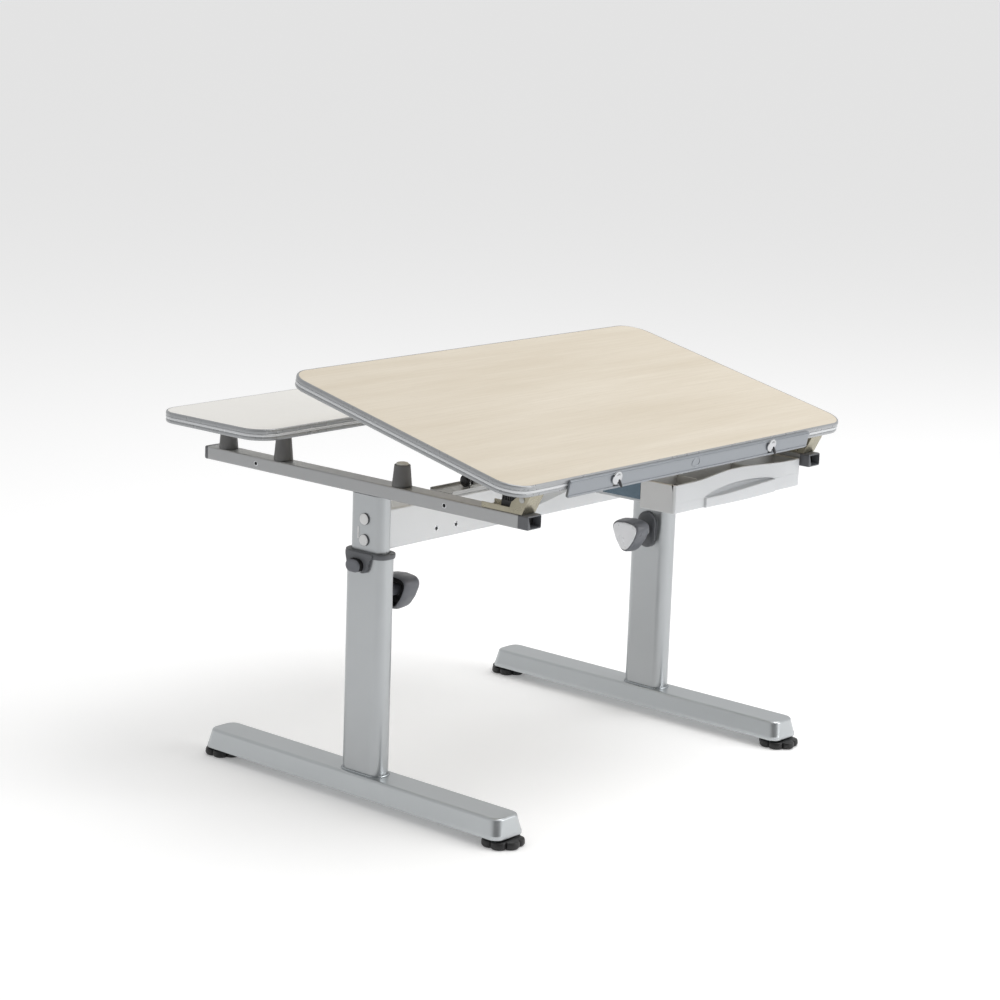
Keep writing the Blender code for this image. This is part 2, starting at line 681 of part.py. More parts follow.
def hinge_leaf(label, side):
    """Leaf screwed under the top, with its knuckle and the pin that turns in the cheeks."""
    low = side * COLUMN_X - LEAF_WIDTH / 2
    high = side * COLUMN_X + LEAF_WIDTH / 2
    plate_top = DESK_TOP - BOARD_THICKNESS - GAP
    front = HINGE_Y - KNUCKLE_RADIUS
    steps = 8
    knuckle = [(HINGE_Y + KNUCKLE_RADIUS, plate_top - SINK), (front, plate_top - SINK)]
    for step in range(steps + 1):
        angle = math.pi + math.pi * step / steps
        knuckle.append((HINGE_Y + KNUCKLE_RADIUS * math.cos(angle),
                        HINGE_Z + KNUCKLE_RADIUS * math.sin(angle)))
    leaf = prism("hinge_leaf_" + label, rectangle(low, high, front - 0.2, front + LEAF_LENGTH), "Z",
                 plate_top - LEAF_SHEET, plate_top, zinc())
    pin_half = HINGE_WIDTH / 2 + 0.7
    middle = side * COLUMN_X
    join(leaf, tool_prism(knuckle, "X", low + SINK, high - SINK))
    pin = tool_prism(circle(HINGE_PIN_RADIUS, (HINGE_Y, HINGE_Z)), "X", middle - pin_half, middle + pin_half)
    return join(leaf, pin)


def upper_pivot_point(tilt):
    """Where the upper arm is hinged under the top, as (y, z), at this tilt."""
    reach, rise = UPPER_PIVOT_REACH, UPPER_PIVOT_RISE
    return (HINGE_Y + reach * math.cos(tilt) - rise * math.sin(tilt),
            HINGE_Z + reach * math.sin(tilt) + rise * math.cos(tilt))


def knee_point(tilt):
    """Where the two arms meet, on the front side of the line between their pivots."""
    upper = upper_pivot_point(tilt)
    dy, dz = upper[0] - LOWER_PIVOT_Y, upper[1] - LOWER_PIVOT_Z
    span = math.hypot(dy, dz)
    along = (LOWER_ARM ** 2 - UPPER_ARM ** 2 + span ** 2) / (2 * span)
    aside = math.sqrt(LOWER_ARM ** 2 - along ** 2)
    return (LOWER_PIVOT_Y + (along * dy - aside * dz) / span,
            LOWER_PIVOT_Z + (along * dz + aside * dy) / span)


def tilt_base():
    """Shallow steel channel on the beam, with two lugs for the lower arms' pins."""
    floor_z = BEAM_TOP + GAP
    half = TILT_BASE_HALF_LENGTH
    channel = prism("tilt_base", rectangle(-half, half, BEAM_FRONT, TILT_BASE_REAR), "Z",
                    floor_z, floor_z + SUPPORT_PLATE, zinc())
    for start in (BEAM_FRONT, TILT_BASE_REAR - 2.0):
        lip = rectangle(-half + 0.1, half - 0.1, start + 0.05, start + 1.95)
        join(channel, tool_prism(lip, "Z", floor_z + SINK, floor_z + CHANNEL_LIP))
    pin_middle = (LOWER_PIVOT_Y, LOWER_PIVOT_Z)
    for side in (LEFT, RIGHT):
        near = side * (STRUT_X + 2 * STRUT_SHEET)
        far = side * (STRUT_X + 3 * STRUT_SHEET)
        lug = capsule((LOWER_PIVOT_Y, floor_z + SINK + STRUT_HALF_WIDTH), pin_middle, STRUT_HALF_WIDTH)
        join(channel, tool_prism(lug, "X", near, far))
        cut(channel, tool_prism(circle(PIVOT_ROD_RADIUS + GAP, pin_middle), "X", near - side, far + side))
    return channel


def tilt_top_rail():
    """Steel plate under the top, with two lugs for the upper arms' pins."""
    upper = upper_pivot_point(0.0)
    plate_top = DESK_TOP - BOARD_THICKNESS - GAP
    half = STRUT_X + 22.0
    outline = rectangle(-half, half, upper[0] - TOP_PLATE_HALF_WIDTH, upper[0] + TOP_PLATE_HALF_WIDTH)
    plate = prism("tilt_top_rail", outline, "Z", plate_top - SUPPORT_PLATE, plate_top, zinc())
    for side in (LEFT, RIGHT):
        near = side * (STRUT_X + 2 * STRUT_SHEET)
        far = side * (STRUT_X + 3 * STRUT_SHEET)
        lug = capsule((upper[0], plate_top - SINK - STRUT_HALF_WIDTH), upper, STRUT_HALF_WIDTH)
        join(plate, tool_prism(lug, "X", near, far))
        cut(plate, tool_prism(circle(PIVOT_ROD_RADIUS + GAP, upper), "X", near - side, far + side))
    return plate


def lower_arm(label, side):
    """Bar from the beam's lug up to the knee, with its own pivot pin."""
    start = (LOWER_PIVOT_Y, LOWER_PIVOT_Z)
    knee = knee_point(REST_TILT)
    near = side * STRUT_X
    arm = prism("lower_support_arm_" + label, capsule(start, knee, STRUT_HALF_WIDTH), "X",
                near, near + side * STRUT_SHEET, zinc())
    pin = tool_prism(circle(PIVOT_ROD_RADIUS, start), "X", near + side, side * (STRUT_X + 4 * STRUT_SHEET))
    eye = tool_prism(circle(PIVOT_ROD_RADIUS + GAP, knee), "X", near - side, near + side * 2 * STRUT_SHEET)
    join(arm, pin)
    return cut(arm, eye)


def knee_rod():
    """Round bar through both lower arms at the knee."""
    half = STRUT_X + STRUT_SHEET + 1.5
    outline = circle(PIVOT_ROD_RADIUS, knee_point(REST_TILT))
    return prism("support_cross_rod", outline, "X", -half, half, zinc())


def upper_arm(label, side):
    """Bar from the lug under the top down to the knee, made with the top at its rest tilt."""
    start = upper_pivot_point(REST_TILT)
    knee = knee_point(REST_TILT)
    near = side * (STRUT_X - STRUT_SHEET - 1.0)
    far = near - side * STRUT_SHEET
    arm = prism("upper_support_arm_" + label, capsule(start, knee, STRUT_HALF_WIDTH), "X", near, far, zinc())
    drum = tool_prism(circle(KNEE_EYE_OUTER, knee), "X", near - side * 0.05, far + side * 0.05)
    pin = tool_prism(circle(PIVOT_ROD_RADIUS, start), "X", near - side, side * (STRUT_X + 4 * STRUT_SHEET))
    eye = tool_prism(circle(OPEN_EYE_RADIUS, knee), "X", near + side * 2.0, far - side * 2.0)
    join(arm, drum, pin)
    return cut(arm, eye)


# ---------------------------------------------------------------- boards

def board(name, depth, middle_y, finish):
    """Laminated board inside its edge band."""
    inset = 2 * (BAND_THICKNESS + GAP)
    outline = rounded_rect(BOARD_WIDTH - inset, depth - inset, BOARD_RADIUS - inset / 2, (0.0, middle_y))
    return prism(name, outline, "Z", DESK_TOP - BOARD_THICKNESS, DESK_TOP, finish)


def edge_band(name, depth, middle_y):
    """Plastic band around a board, rounded at its outer corners."""
    bottom = DESK_TOP - BOARD_THICKNESS

    def loop(inset, z):
        outline = rounded_rect(BOARD_WIDTH - 2 * inset, depth - 2 * inset, BOARD_RADIUS - inset,
                               (0.0, middle_y))
        return on_axis(outline, "Z", z)

    loops = [loop(BAND_THICKNESS, bottom), loop(BAND_THICKNESS, DESK_TOP),
             loop(BAND_ROUNDING, DESK_TOP), loop(0.0, DESK_TOP - BAND_ROUNDING),
             loop(0.0, bottom + BAND_ROUNDING), loop(BAND_ROUNDING, bottom)]
    return loft(name, loops, edge_plastic(), ring=True)


def ledge():
    """Aluminium strip along the front edge of the top, with a slot for each thumbscrew."""
    back = TOP_FRONT - GAP
    top = DESK_TOP - LEDGE_DROP
    outline = rounded_rect(LEDGE_THICKNESS, LEDGE_HEIGHT, 1.5,
                           (back - LEDGE_THICKNESS / 2, top - LEDGE_HEIGHT / 2))
    strip = prism("paper_ledge", outline, "X", -LEDGE_HALF_LENGTH, LEDGE_HALF_LENGTH, ledge_metal())
    screw_z = DESK_TOP - THUMBSCREW_DROP
    reach = THUMBSCREW_RADIUS + GAP
    for side in (LEFT, RIGHT):
        slot = rounded_rect(2 * reach, 2 * reach + LEDGE_TRAVEL, reach - 0.01,
                            (side * THUMBSCREW_X, screw_z - LEDGE_TRAVEL / 2))
        cut(strip, tool_prism(slot, "Y", back + 2.0, back - LEDGE_THICKNESS - 2.0))
    return strip


def thumbscrew(label, side):
    """Wing screw that clamps the ledge against the top."""
    middle = (side * THUMBSCREW_X, DESK_TOP - THUMBSCREW_DROP)
    head_back = TOP_FRONT - GAP - LEDGE_THICKNESS - GAP
    head = THUMBSCREW_HEAD_RADIUS
    profile = ((THUMBSCREW_RADIUS, TOP_FRONT - GAP), (THUMBSCREW_RADIUS, head_back), (head - 1.0, head_back),
               (head, head_back - 1.0), (head, head_back - 2.6), (head * 0.6, head_back - 4.4))
    loops = [on_axis(circle(radius, middle), "Y", y) for radius, y in profile]
    screw = loft("thumbscrew_" + label, loops, chrome())
    wing = rounded_rect(4.4, 20.0, 2.1, (middle[0], middle[1] - 8.0))
    return join(screw, tool_prism(wing, "Y", head_back - 2.0, head_back - 12.0))


# ---------------------------------------------------------------- drawer

def drawer_tray():
    """Moulded tray: a wide compartmented front and a narrower body between the slides."""
    low = DRAWER_X - DRAWER_WIDTH / 2
    high = DRAWER_X + DRAWER_WIDTH / 2
    middle_y = (DRAWER_FRONT + DRAWER_HEAD_REAR) / 2
    head = rounded_rect(DRAWER_WIDTH, DRAWER_HEAD_REAR - DRAWER_FRONT, 4.0, (DRAWER_X, middle_y))
    tray = prism("drawer_tray", head, "Z", DRAWER_BOTTOM, DRAWER_TOP, tray_plastic())
    body = rectangle(DRAWER_X - DRAWER_BODY_HALF_WIDTH, DRAWER_X + DRAWER_BODY_HALF_WIDTH,
                     DRAWER_HEAD_REAR - 1.0, DRAWER_REAR)
    join(tray, tool_prism(body, "Z", DRAWER_BODY_BOTTOM, DRAWER_BODY_TOP))
    walls = [low] + list(DRAWER_DIVIDERS) + [high]
    half_divider = DRAWER_WALL / 2
    front_step = RECESS_DEPTH + 2 * DRAWER_WALL
    for start, end in zip(walls, walls[1:]):
        left = start + (DRAWER_WALL if start == low else half_divider)
        right = end - (DRAWER_WALL if end == high else half_divider)
        upper = rectangle(left, right, DRAWER_FRONT + 4.0, DRAWER_HEAD_REAR - DRAWER_WALL)
        lower = rectangle(left, right, DRAWER_FRONT + front_step, DRAWER_HEAD_REAR - DRAWER_WALL)
        cut(tray, tool_prism(upper, "Z", RECESS_ARC_TOP + DRAWER_WALL, DRAWER_TOP + CUT_PAST))
        cut(tray, tool_prism(lower, "Z", DRAWER_BOTTOM + DRAWER_WALL, DRAWER_TOP + CUT_PAST))
    cavity = rectangle(DRAWER_X - DRAWER_BODY_HALF_WIDTH + DRAWER_WALL,
                       DRAWER_X + DRAWER_BODY_HALF_WIDTH - DRAWER_WALL,
                       DRAWER_HEAD_REAR, DRAWER_REAR - DRAWER_WALL)
    cut(tray, tool_prism(cavity, "Z", DRAWER_BODY_BOTTOM + DRAWER_WALL, DRAWER_TOP + CUT_PAST))
    return cut(tray, finger_recess())


def finger_recess():
    """Crescent scoop: deepest under its arched upper edge and running out at its straight lower edge."""
    steps = 12
    outside = DRAWER_FRONT - 2.0
    loops = []
    for i in range(steps + 1):
        along = -1.0 + 2.0 * i / steps
        x = RECESS_CENTRE_X + RECESS_HALF_WIDTH * along
        upper = RECESS_ARC_TOP - (RECESS_HEIGHT - 2.0) * along ** 2
        depth = RECESS_DEPTH * math.sqrt(1.0 - along ** 4) + 0.4
        loops.append([(x, outside, upper), (x, DRAWER_FRONT + depth, upper),
                      (x, outside, RECESS_ARC_TOP - RECESS_HEIGHT)])
    return loft("tool", loops, steel_paint())


def slide_member(name, side, outer_face, inner_face, half_height, front, rear, opens_inward):
    """C-shaped slide member; the distances are from the drawer's outer side towards its middle."""
    edge = DRAWER_X + side * DRAWER_WIDTH / 2
    web = outer_face if opens_inward else inner_face
    tip = inner_face if opens_inward else outer_face
    step = SLIDE_SHEET if opens_inward else -SLIDE_SHEET
    profile = [(web, -half_height), (tip, -half_height), (tip, -half_height + SLIDE_SHEET),
               (web + step, -half_height + SLIDE_SHEET), (web + step, half_height - SLIDE_SHEET),
               (tip, half_height - SLIDE_SHEET), (tip, half_height), (web, half_height)]
    outline = [(edge - side * across, SLIDE_Z + up) for across, up in profile]
    return prism(name, outline, "Y", front, rear, blue_zinc())


def slide_bracket(label, side):
    """Sheet bracket from the beam's front face to the fixed slide member."""
    edge = DRAWER_X + side * DRAWER_WIDTH / 2
    back = BEAM_FRONT - GAP
    far_edge = edge - side * SLIDE_PLATE_WIDTH
    plate_outline = rectangle(min(edge, far_edge), max(edge, far_edge), SLIDE_PLATE_BOTTOM, SLIDE_PLATE_TOP)
    top = SLIDE_Z + SLIDE_HEIGHT / 2 - 0.5
    bottom = SLIDE_Z - SLIDE_HEIGHT / 2 + 0.5
    arm_outline = [(back - 0.1, SLIDE_PLATE_BOTTOM + 10.0), (back - 0.1, SLIDE_PLATE_TOP - 1.0),
                   (SLIDE_REAR, top), (SLIDE_ARM_FRONT, top), (SLIDE_ARM_FRONT, bottom), (-122.0, bottom)]
    bracket = prism("slide_bracket_" + label, plate_outline, "Y", back, back - 2.0, pale_paint())
    return join(bracket, tool_prism(arm_outline, "X", edge - side * 0.02, edge - side * 2.0))


# ---------------------------------------------------------------- assembly

def build_base():
    for label, side in SIDES:
        foot(label, side)
        for end_label, end in (("front", -1), ("rear", 1)):
            leveler(label, side, end_label, end)
        lower_column(label, side)
        collar(label, side)
        collar_button(label, side)
        knob_base(label, side)
        locking_knob(label, side)


def build_drawer(frame_pivot):
    """Tray and slides, each travelling group under its own empty."""
    drawer_pivot = pivot("drawer_axis", (DRAWER_X, DRAWER_REAR, SLIDE_Z), frame_pivot)
    middle_pivot = pivot("slide_middle_axis", (DRAWER_X, SLIDE_REAR, SLIDE_Z), frame_pivot)
    fixed, middles, inners = [], [], []
    half = SLIDE_HEIGHT / 2
    for label, side in SIDES:
        fixed.append(slide_bracket(label, side))
        fixed.append(slide_member("slide_outer_" + label, side, 2.3, 11.3, half,
                                  SLIDE_FRONT, SLIDE_REAR, True))
        middles.append(slide_member("slide_middle_" + label, side, 4.2, 13.2, half - 1.9,
                                    SLIDE_FRONT + 2.0, SLIDE_REAR - 2.0, True))
        inners.append(slide_member("slide_inner_" + label, side, 6.4, 16.3, half - 4.1,
                                   SLIDE_FRONT + 2.0, DRAWER_REAR - 1.0, False))
    hang([drawer_tray()] + inners, drawer_pivot)
    hang(middles, middle_pivot)
    return fixed


def build_tilting_top(frame_pivot):
    """Everything that turns about the front hinges, made flat and then tilted to its rest pose."""
    hinge = pivot("tilt_axis", (0.0, HINGE_Y, HINGE_Z), frame_pivot)
    middle_y = TOP_FRONT + TOP_DEPTH / 2
    riding = [board("tilting_top", TOP_DEPTH, middle_y, maple()),
              edge_band("top_edge_band", TOP_DEPTH, middle_y), tilt_top_rail()]
    for label, side in SIDES:
        riding.append(hinge_leaf(label, side))
    hang(riding, hinge)
    ledge_pivot = pivot("ledge_axis", (0.0, TOP_FRONT - GAP, DESK_TOP), hinge)
    hang([ledge()], ledge_pivot)
    for label, side in SIDES:
        screw = thumbscrew(label, side)
        screw_pivot = pivot(screw.name + "_axis",
                            (side * THUMBSCREW_X, TOP_FRONT, DESK_TOP - THUMBSCREW_DROP), hinge)
        hang([screw], screw_pivot)
    hinge.rotation_euler.x = REST_TILT


def build_support(frame_pivot):
    """The arms that hold the tilt, in their rest positions."""
    lower_pivot = pivot("lower_support_axis", (0.0, LOWER_PIVOT_Y, LOWER_PIVOT_Z), frame_pivot)
    hang([lower_arm(label, side) for label, side in SIDES] + [knee_rod()], lower_pivot)
    upper_pivot = pivot("upper_support_axis", (0.0, *upper_pivot_point(REST_TILT)), frame_pivot)
    hang([upper_arm(label, side) for label, side in SIDES], upper_pivot)


def build_lifting_frame():
    frame_pivot = pivot("height_axis", (0.0, COLUMN_Y, LOWER_TOP))
    riding = [crossbeam(), tilt_base()]
    for label, side in SIDES:
        riding.append(upper_column(label, side))
        for row_label, z in zip(("lower", "upper"), CAP_ZS):
            riding.append(bolt_cap(label, side, row_label, z))
        riding.append(side_rail(label, side))
        riding.append(rail_plug(label, side))
        for row_label, y in zip(("front", "rear"), SPACER_YS):
            riding.append(spacer(label, side, row_label, y))
        riding.append(rest_bumper(label, side))
        riding.append(hinge_bracket(label, side))
    shelf_middle = SHELF_REAR - SHELF_DEPTH / 2
    riding.append(board("rear_shelf", SHELF_DEPTH, shelf_middle, white_laminate()))
    riding.append(edge_band("shelf_edge_band", SHELF_DEPTH, shelf_middle))
    riding += build_drawer(frame_pivot)
    hang(riding, frame_pivot)
    build_tilting_top(frame_pivot)
    build_support(frame_pivot)


def main():
    for old in list(bpy.data.objects):
        bpy.data.objects.remove(old, do_unlink=True)
    build_base()
    build_lifting_frame()
    bpy.context.view_layer.update()


main()
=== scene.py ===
"""Looks for the drafting table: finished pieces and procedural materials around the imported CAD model.

Lengths are in millimetres in the model's own frame (+X right, +Y rear, +Z up) and become metres in build().
Pieces of the tilting top are drawn with the top lying flat and are then turned to its rest tilt.
"""
import json
import math

import bmesh
import bpy
from mathutils import Matrix, Vector


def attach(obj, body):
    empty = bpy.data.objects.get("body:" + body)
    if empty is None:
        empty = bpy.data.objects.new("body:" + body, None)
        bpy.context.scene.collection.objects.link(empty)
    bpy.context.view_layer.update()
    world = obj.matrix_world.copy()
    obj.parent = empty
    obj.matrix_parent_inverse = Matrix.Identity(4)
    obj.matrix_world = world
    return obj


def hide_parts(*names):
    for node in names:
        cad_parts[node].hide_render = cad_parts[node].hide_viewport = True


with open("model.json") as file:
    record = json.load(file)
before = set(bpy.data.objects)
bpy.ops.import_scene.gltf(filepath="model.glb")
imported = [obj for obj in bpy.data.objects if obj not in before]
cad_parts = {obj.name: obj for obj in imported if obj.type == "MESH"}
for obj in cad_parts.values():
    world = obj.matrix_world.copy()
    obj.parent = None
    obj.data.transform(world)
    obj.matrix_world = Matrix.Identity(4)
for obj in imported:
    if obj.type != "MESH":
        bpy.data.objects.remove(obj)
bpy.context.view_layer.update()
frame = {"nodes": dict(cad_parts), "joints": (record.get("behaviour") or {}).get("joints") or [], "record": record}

MM = 0.001
STRAIGHT = Matrix.Identity(4)
SIDES = (("left", -1), ("right", 1))
CORNER_STEPS = 12
ROUND_STEPS = 40
SMOOTH_ANGLE = math.radians(32)


# ---------------------------------------------------------------- places taken from the CAD model

def rest_tilt():
    """Angle of the drawing surface at rest."""
    normal = next(m for m in frame["record"]["mounts"] if m["name"] == "drawing_surface")["axis"]
    return math.atan2(-normal[1], normal[2])


def tilt_placement():
    """From the top lying flat to the top at rest."""
    joint = next(j for j in frame["joints"] if j["name"] == "tilt")
    pivot = Matrix.Translation(Vector(joint["pos_m"]))
    return pivot @ Matrix.Rotation(TILT_ANGLE, 4, "X") @ pivot.inverted()


TILT_ANGLE = rest_tilt()
TILTED = tilt_placement()


class Box:
    """Extent of a CAD node in millimetres, seen from a placement."""

    def __init__(self, node, placement=STRAIGHT):
        back = placement.inverted()
        corners = [back @ v.co / MM for v in frame["nodes"][node].data.vertices]
        self.lo = Vector([min(c[i] for c in corners) for i in range(3)])
        self.hi = Vector([max(c[i] for c in corners) for i in range(3)])
        self.mid = (self.lo + self.hi) / 2
        self.size = self.hi - self.lo


def joint_place(name):
    """Joint position in millimetres."""
    joint = next(j for j in frame["joints"] if j["name"] == name)
    return Vector(joint["pos_m"]) / MM


# ---------------------------------------------------------------- outlines

def rounded_rect(width, height, radius, centre=(0.0, 0.0), steps=CORNER_STEPS):
    points = []
    radius = max(0.01, min(radius, width / 2 - 0.005, height / 2 - 0.005))
    for quarter in range(4):
        corner_u = (width / 2 - radius) * (1 if quarter in (0, 3) else -1)
        corner_v = (height / 2 - radius) * (1 if quarter in (0, 1) else -1)
        for step in range(steps + 1):
            angle = math.pi / 2 * (quarter + step / steps)
            points.append((centre[0] + corner_u + radius * math.cos(angle),
                           centre[1] + corner_v + radius * math.sin(angle)))
    return points


def circle(radius, centre=(0.0, 0.0), steps=ROUND_STEPS):
    return [(centre[0] + radius * math.cos(2 * math.pi * i / steps),
             centre[1] + radius * math.sin(2 * math.pi * i / steps)) for i in range(steps)]


def rectangle(u0, u1, v0, v1):
    return [(u0, v0), (u1, v0), (u1, v1), (u0, v1)]


def polar(reach, centre, steps):
    """Outline from a radius for each angle."""
    points = []
    for i in range(steps):
        angle = 2 * math.pi * i / steps
        radius = reach(angle)
        points.append((centre[0] + radius * math.cos(angle), centre[1] + radius * math.sin(angle)))
    return points


def on_axis(outline, axis, distance):
    if axis == "X":
        return [(distance, u, v) for u, v in outline]
    if axis == "Y":
        return [(u, distance, v) for u, v in outline]
    return [(u, v, distance) for u, v in outline]


# ---------------------------------------------------------------- solids: (points, faces)

def loft(loops, ring=False):
    """Skin through matching loops, capped at both ends or closed on itself."""
    count = len(loops[0])
    points = [point for loop in loops for point in loop]
    faces = []
    pairs = [(k, k + 1) for k in range(len(loops) - 1)]
    if ring:
        pairs.append((len(loops) - 1, 0))
    else:
        faces.append(tuple(range(count)))
        faces.append(tuple(range((len(loops) - 1) * count, len(loops) * count)))
    for near, far in pairs:
        for i in range(count):
            j = (i + 1) % count
            faces.append((near * count + i, near * count + j, far * count + j, far * count + i))
    return points, faces


def prism(outline, axis, start, end):
    return loft([on_axis(outline, axis, start), on_axis(outline, axis, end)])


def tube(outer, inner, axis, start, end):
    return loft([on_axis(outer, axis, start), on_axis(outer, axis, end),
                 on_axis(inner, axis, end), on_axis(inner, axis, start)], ring=True)


def turned(profile, centre, axis, steps=ROUND_STEPS):
    """Round solid from (radius, distance) pairs."""
    return loft([on_axis(circle(radius, centre, steps), axis, distance) for radius, distance in profile])


def block(low, high):
    return prism(rectangle(low[0], high[0], low[1], high[1]), "Z", low[2], high[2])


def ball(centre, radius, rings=6, steps=12):
    profile = []
    for i in range(1, rings):
        angle = math.pi * i / rings
        profile.append((radius * math.sin(angle), centre[2] - radius * math.cos(angle)))
    return turned(profile, (centre[0], centre[1]), "Z", steps)


def bead(path, radius, ripple=0.0, steps=8):
    """Closed bead of round section along a level path of (x, y, z, outward x, outward y)."""
    loops = []
    for i, (x, y, z, out_x, out_y) in enumerate(path):
        reach = radius * (1 + ripple * math.sin(i * 2.4) + 0.5 * ripple * math.sin(i * 1.1))
        loops.append([(x + out_x * reach * math.cos(2 * math.pi * k / steps),
                       y + out_y * reach * math.cos(2 * math.pi * k / steps),
                       z + reach * math.sin(2 * math.pi * k / steps)) for k in range(steps)])
    return loft(loops, ring=True)


# ---------------------------------------------------------------- finished objects

def to_mesh(name, solids, placement=STRAIGHT):
    shape = bmesh.new()
    for points, faces in solids:
        verts = [shape.verts.new(placement @ (Vector(point) * MM)) for point in points]
        for face in faces:
            shape.faces.new([verts[i] for i in face])
    bmesh.ops.remove_doubles(shape, verts=shape.verts, dist=0.000002)
    bmesh.ops.recalc_face_normals(shape, faces=shape.faces)
    mesh = bpy.data.meshes.new(name)
    shape.to_mesh(mesh)
    shape.free()
    return mesh


def dress(made, finish, body, nodes, bevel, bevel_angle=SMOOTH_ANGLE):
    """Material, soft edges and shading, and the CAD body that the piece rides on."""
    made.data.materials.clear()
    made.data.materials.append(finish)
    made.data.shade_smooth()
    if bevel:
        edge = made.modifiers.new("edge", "BEVEL")
        edge.width = bevel * MM
        edge.segments = 2
        edge.limit_method = "ANGLE"
        edge.angle_limit = bevel_angle
        edge.miter_outer = "MITER_ARC"
    else:
        made.data.set_sharp_from_angle(angle=SMOOTH_ANGLE)
    shading = made.modifiers.new("shading", "WEIGHTED_NORMAL")
    shading.keep_sharp = True
    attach(made, body)
    if nodes:
        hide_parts(*([nodes] if isinstance(nodes, str) else nodes))
    return made


def build(name, solids, finish, body, nodes=(), placement=STRAIGHT, bevel=0.0, cuts=()):
    """One finished piece from closed solids, with other solids cut out of it."""
    made = bpy.data.objects.new(name, to_mesh(name, solids, placement))
    bpy.context.collection.objects.link(made)
    if cuts:
        tool = bpy.data.objects.new(name + "_tool", to_mesh(name + "_tool", cuts, placement))
        bpy.context.collection.objects.link(tool)
        boolean = made.modifiers.new("cut", "BOOLEAN")
        boolean.object = tool
        boolean.operation = "DIFFERENCE"
        boolean.solver = "EXACT"
        boolean.use_self = True
        graph = bpy.context.evaluated_depsgraph_get()
        made.data = bpy.data.meshes.new_from_object(made.evaluated_get(graph))
        made.modifiers.clear()
        bpy.data.objects.remove(tool, do_unlink=True)
    return dress(made, finish, body, nodes, bevel)


def refined(node, finish, body, bevel=0.35):
    """CAD node with the triangles of its flat faces joined and its edges softened."""
    shape = bmesh.new()
    shape.from_mesh(frame["nodes"][node].data)
    bmesh.ops.remove_doubles(shape, verts=shape.verts, dist=0.00001)
    bmesh.ops.join_triangles(shape, faces=shape.faces, angle_face_threshold=math.radians(0.6),
                             angle_shape_threshold=math.radians(60.0))
    mesh = bpy.data.meshes.new(node + "_finished")
    shape.to_mesh(mesh)
    shape.free()
    made = bpy.data.objects.new(node + "_finished", mesh)
    bpy.context.collection.objects.link(made)
    return dress(made, finish, body, node, bevel)


# ---------------------------------------------------------------- materials

def rgb(*display):
    """Linear colour from 0-255 display values."""
    return tuple(((c / 255 + 0.055) / 1.055) ** 2.4 if c > 10 else c / 255 / 12.92 for c in display)


def noise(nodes, links, vector, scale, detail=4.0, roughness=0.55):
    texture = nodes.new("ShaderNodeTexNoise")
    texture.inputs["Scale"].default_value = scale
    texture.inputs["Detail"].default_value = detail
    texture.inputs["Roughness"].default_value = roughness
    links.new(vector, texture.inputs["Vector"])
    return texture.outputs["Fac"]


def spread(nodes, links, value, low, high, start=0.3, end=0.7):
    """Noise between start and end stretched to run between two numbers."""
    step = nodes.new("ShaderNodeMapRange")
    step.inputs["From Min"].default_value = start
    step.inputs["From Max"].default_value = end
    step.inputs["To Min"].default_value = low
    step.inputs["To Max"].default_value = high
    links.new(value, step.inputs["Value"])
    return step.outputs["Result"]


def blend(nodes, links, factor, first, second):
    """Mix of two tones, each a colour or the output of another node."""
    mix = nodes.new("ShaderNodeMix")
    mix.data_type = "RGBA"
    for socket, tone in (("A", first), ("B", second)):
        if isinstance(tone, tuple):
            mix.inputs[socket].default_value = (*tone, 1.0)
        else:
            links.new(tone, mix.inputs[socket])
    links.new(factor, mix.inputs["Factor"])
    return mix.outputs["Result"]


def emboss(nodes, links, height, strength, distance, shader):
    relief = nodes.new("ShaderNodeBump")
    relief.inputs["Strength"].default_value = strength
    relief.inputs["Distance"].default_value = distance
    links.new(height, relief.inputs["Height"])
    links.new(relief.outputs["Normal"], shader.inputs["Normal"])


def surface(name, colour, roughness, metallic=0.0, mottle=0.04, mottle_scale=14.0, grain_scale=900.0,
            bump=0.05, stretch=(1.0, 1.0, 1.0), rough_spread=0.08, coat=0.0, wear=0.0):
    """Finish with slow colour drift, fine grain in its relief and an uneven sheen."""
    made = bpy.data.materials.new(name)
    made.use_nodes = True
    nodes, links = made.node_tree.nodes, made.node_tree.links
    shader = nodes["Principled BSDF"]
    place = nodes.new("ShaderNodeTexCoord")
    scaling = nodes.new("ShaderNodeMapping")
    scaling.inputs["Scale"].default_value = stretch
    links.new(place.outputs["Object"], scaling.inputs["Vector"])
    vector = scaling.outputs["Vector"]
    drift = noise(nodes, links, vector, mottle_scale)
    darker = tuple(c * (1 - mottle) for c in colour)
    lighter = tuple(min(1.0, c * (1 + mottle)) for c in colour)
    tone = blend(nodes, links, spread(nodes, links, drift, 0.0, 1.0), darker, lighter)
    grain = noise(nodes, links, vector, grain_scale, 3.0, 0.6)
    if wear:
        scuffs = noise(nodes, links, vector, 95.0, 8.0, 0.7)
        worn = tuple(min(1.0, c * (1 + wear) + 0.01) for c in colour)
        tone = blend(nodes, links, spread(nodes, links, scuffs, 0.0, 1.0, 0.60, 0.72), tone, worn)
    links.new(tone, shader.inputs["Base Color"])
    uneven = noise(nodes, links, vector, 40.0, 5.0)
    links.new(spread(nodes, links, uneven, roughness - rough_spread, roughness + rough_spread),
              shader.inputs["Roughness"])
    emboss(nodes, links, grain, bump, 0.0004, shader)
    shader.inputs["Metallic"].default_value = metallic
    shader.inputs["Coat Weight"].default_value = coat
    shader.inputs["Coat Roughness"].default_value = 0.25
    return made


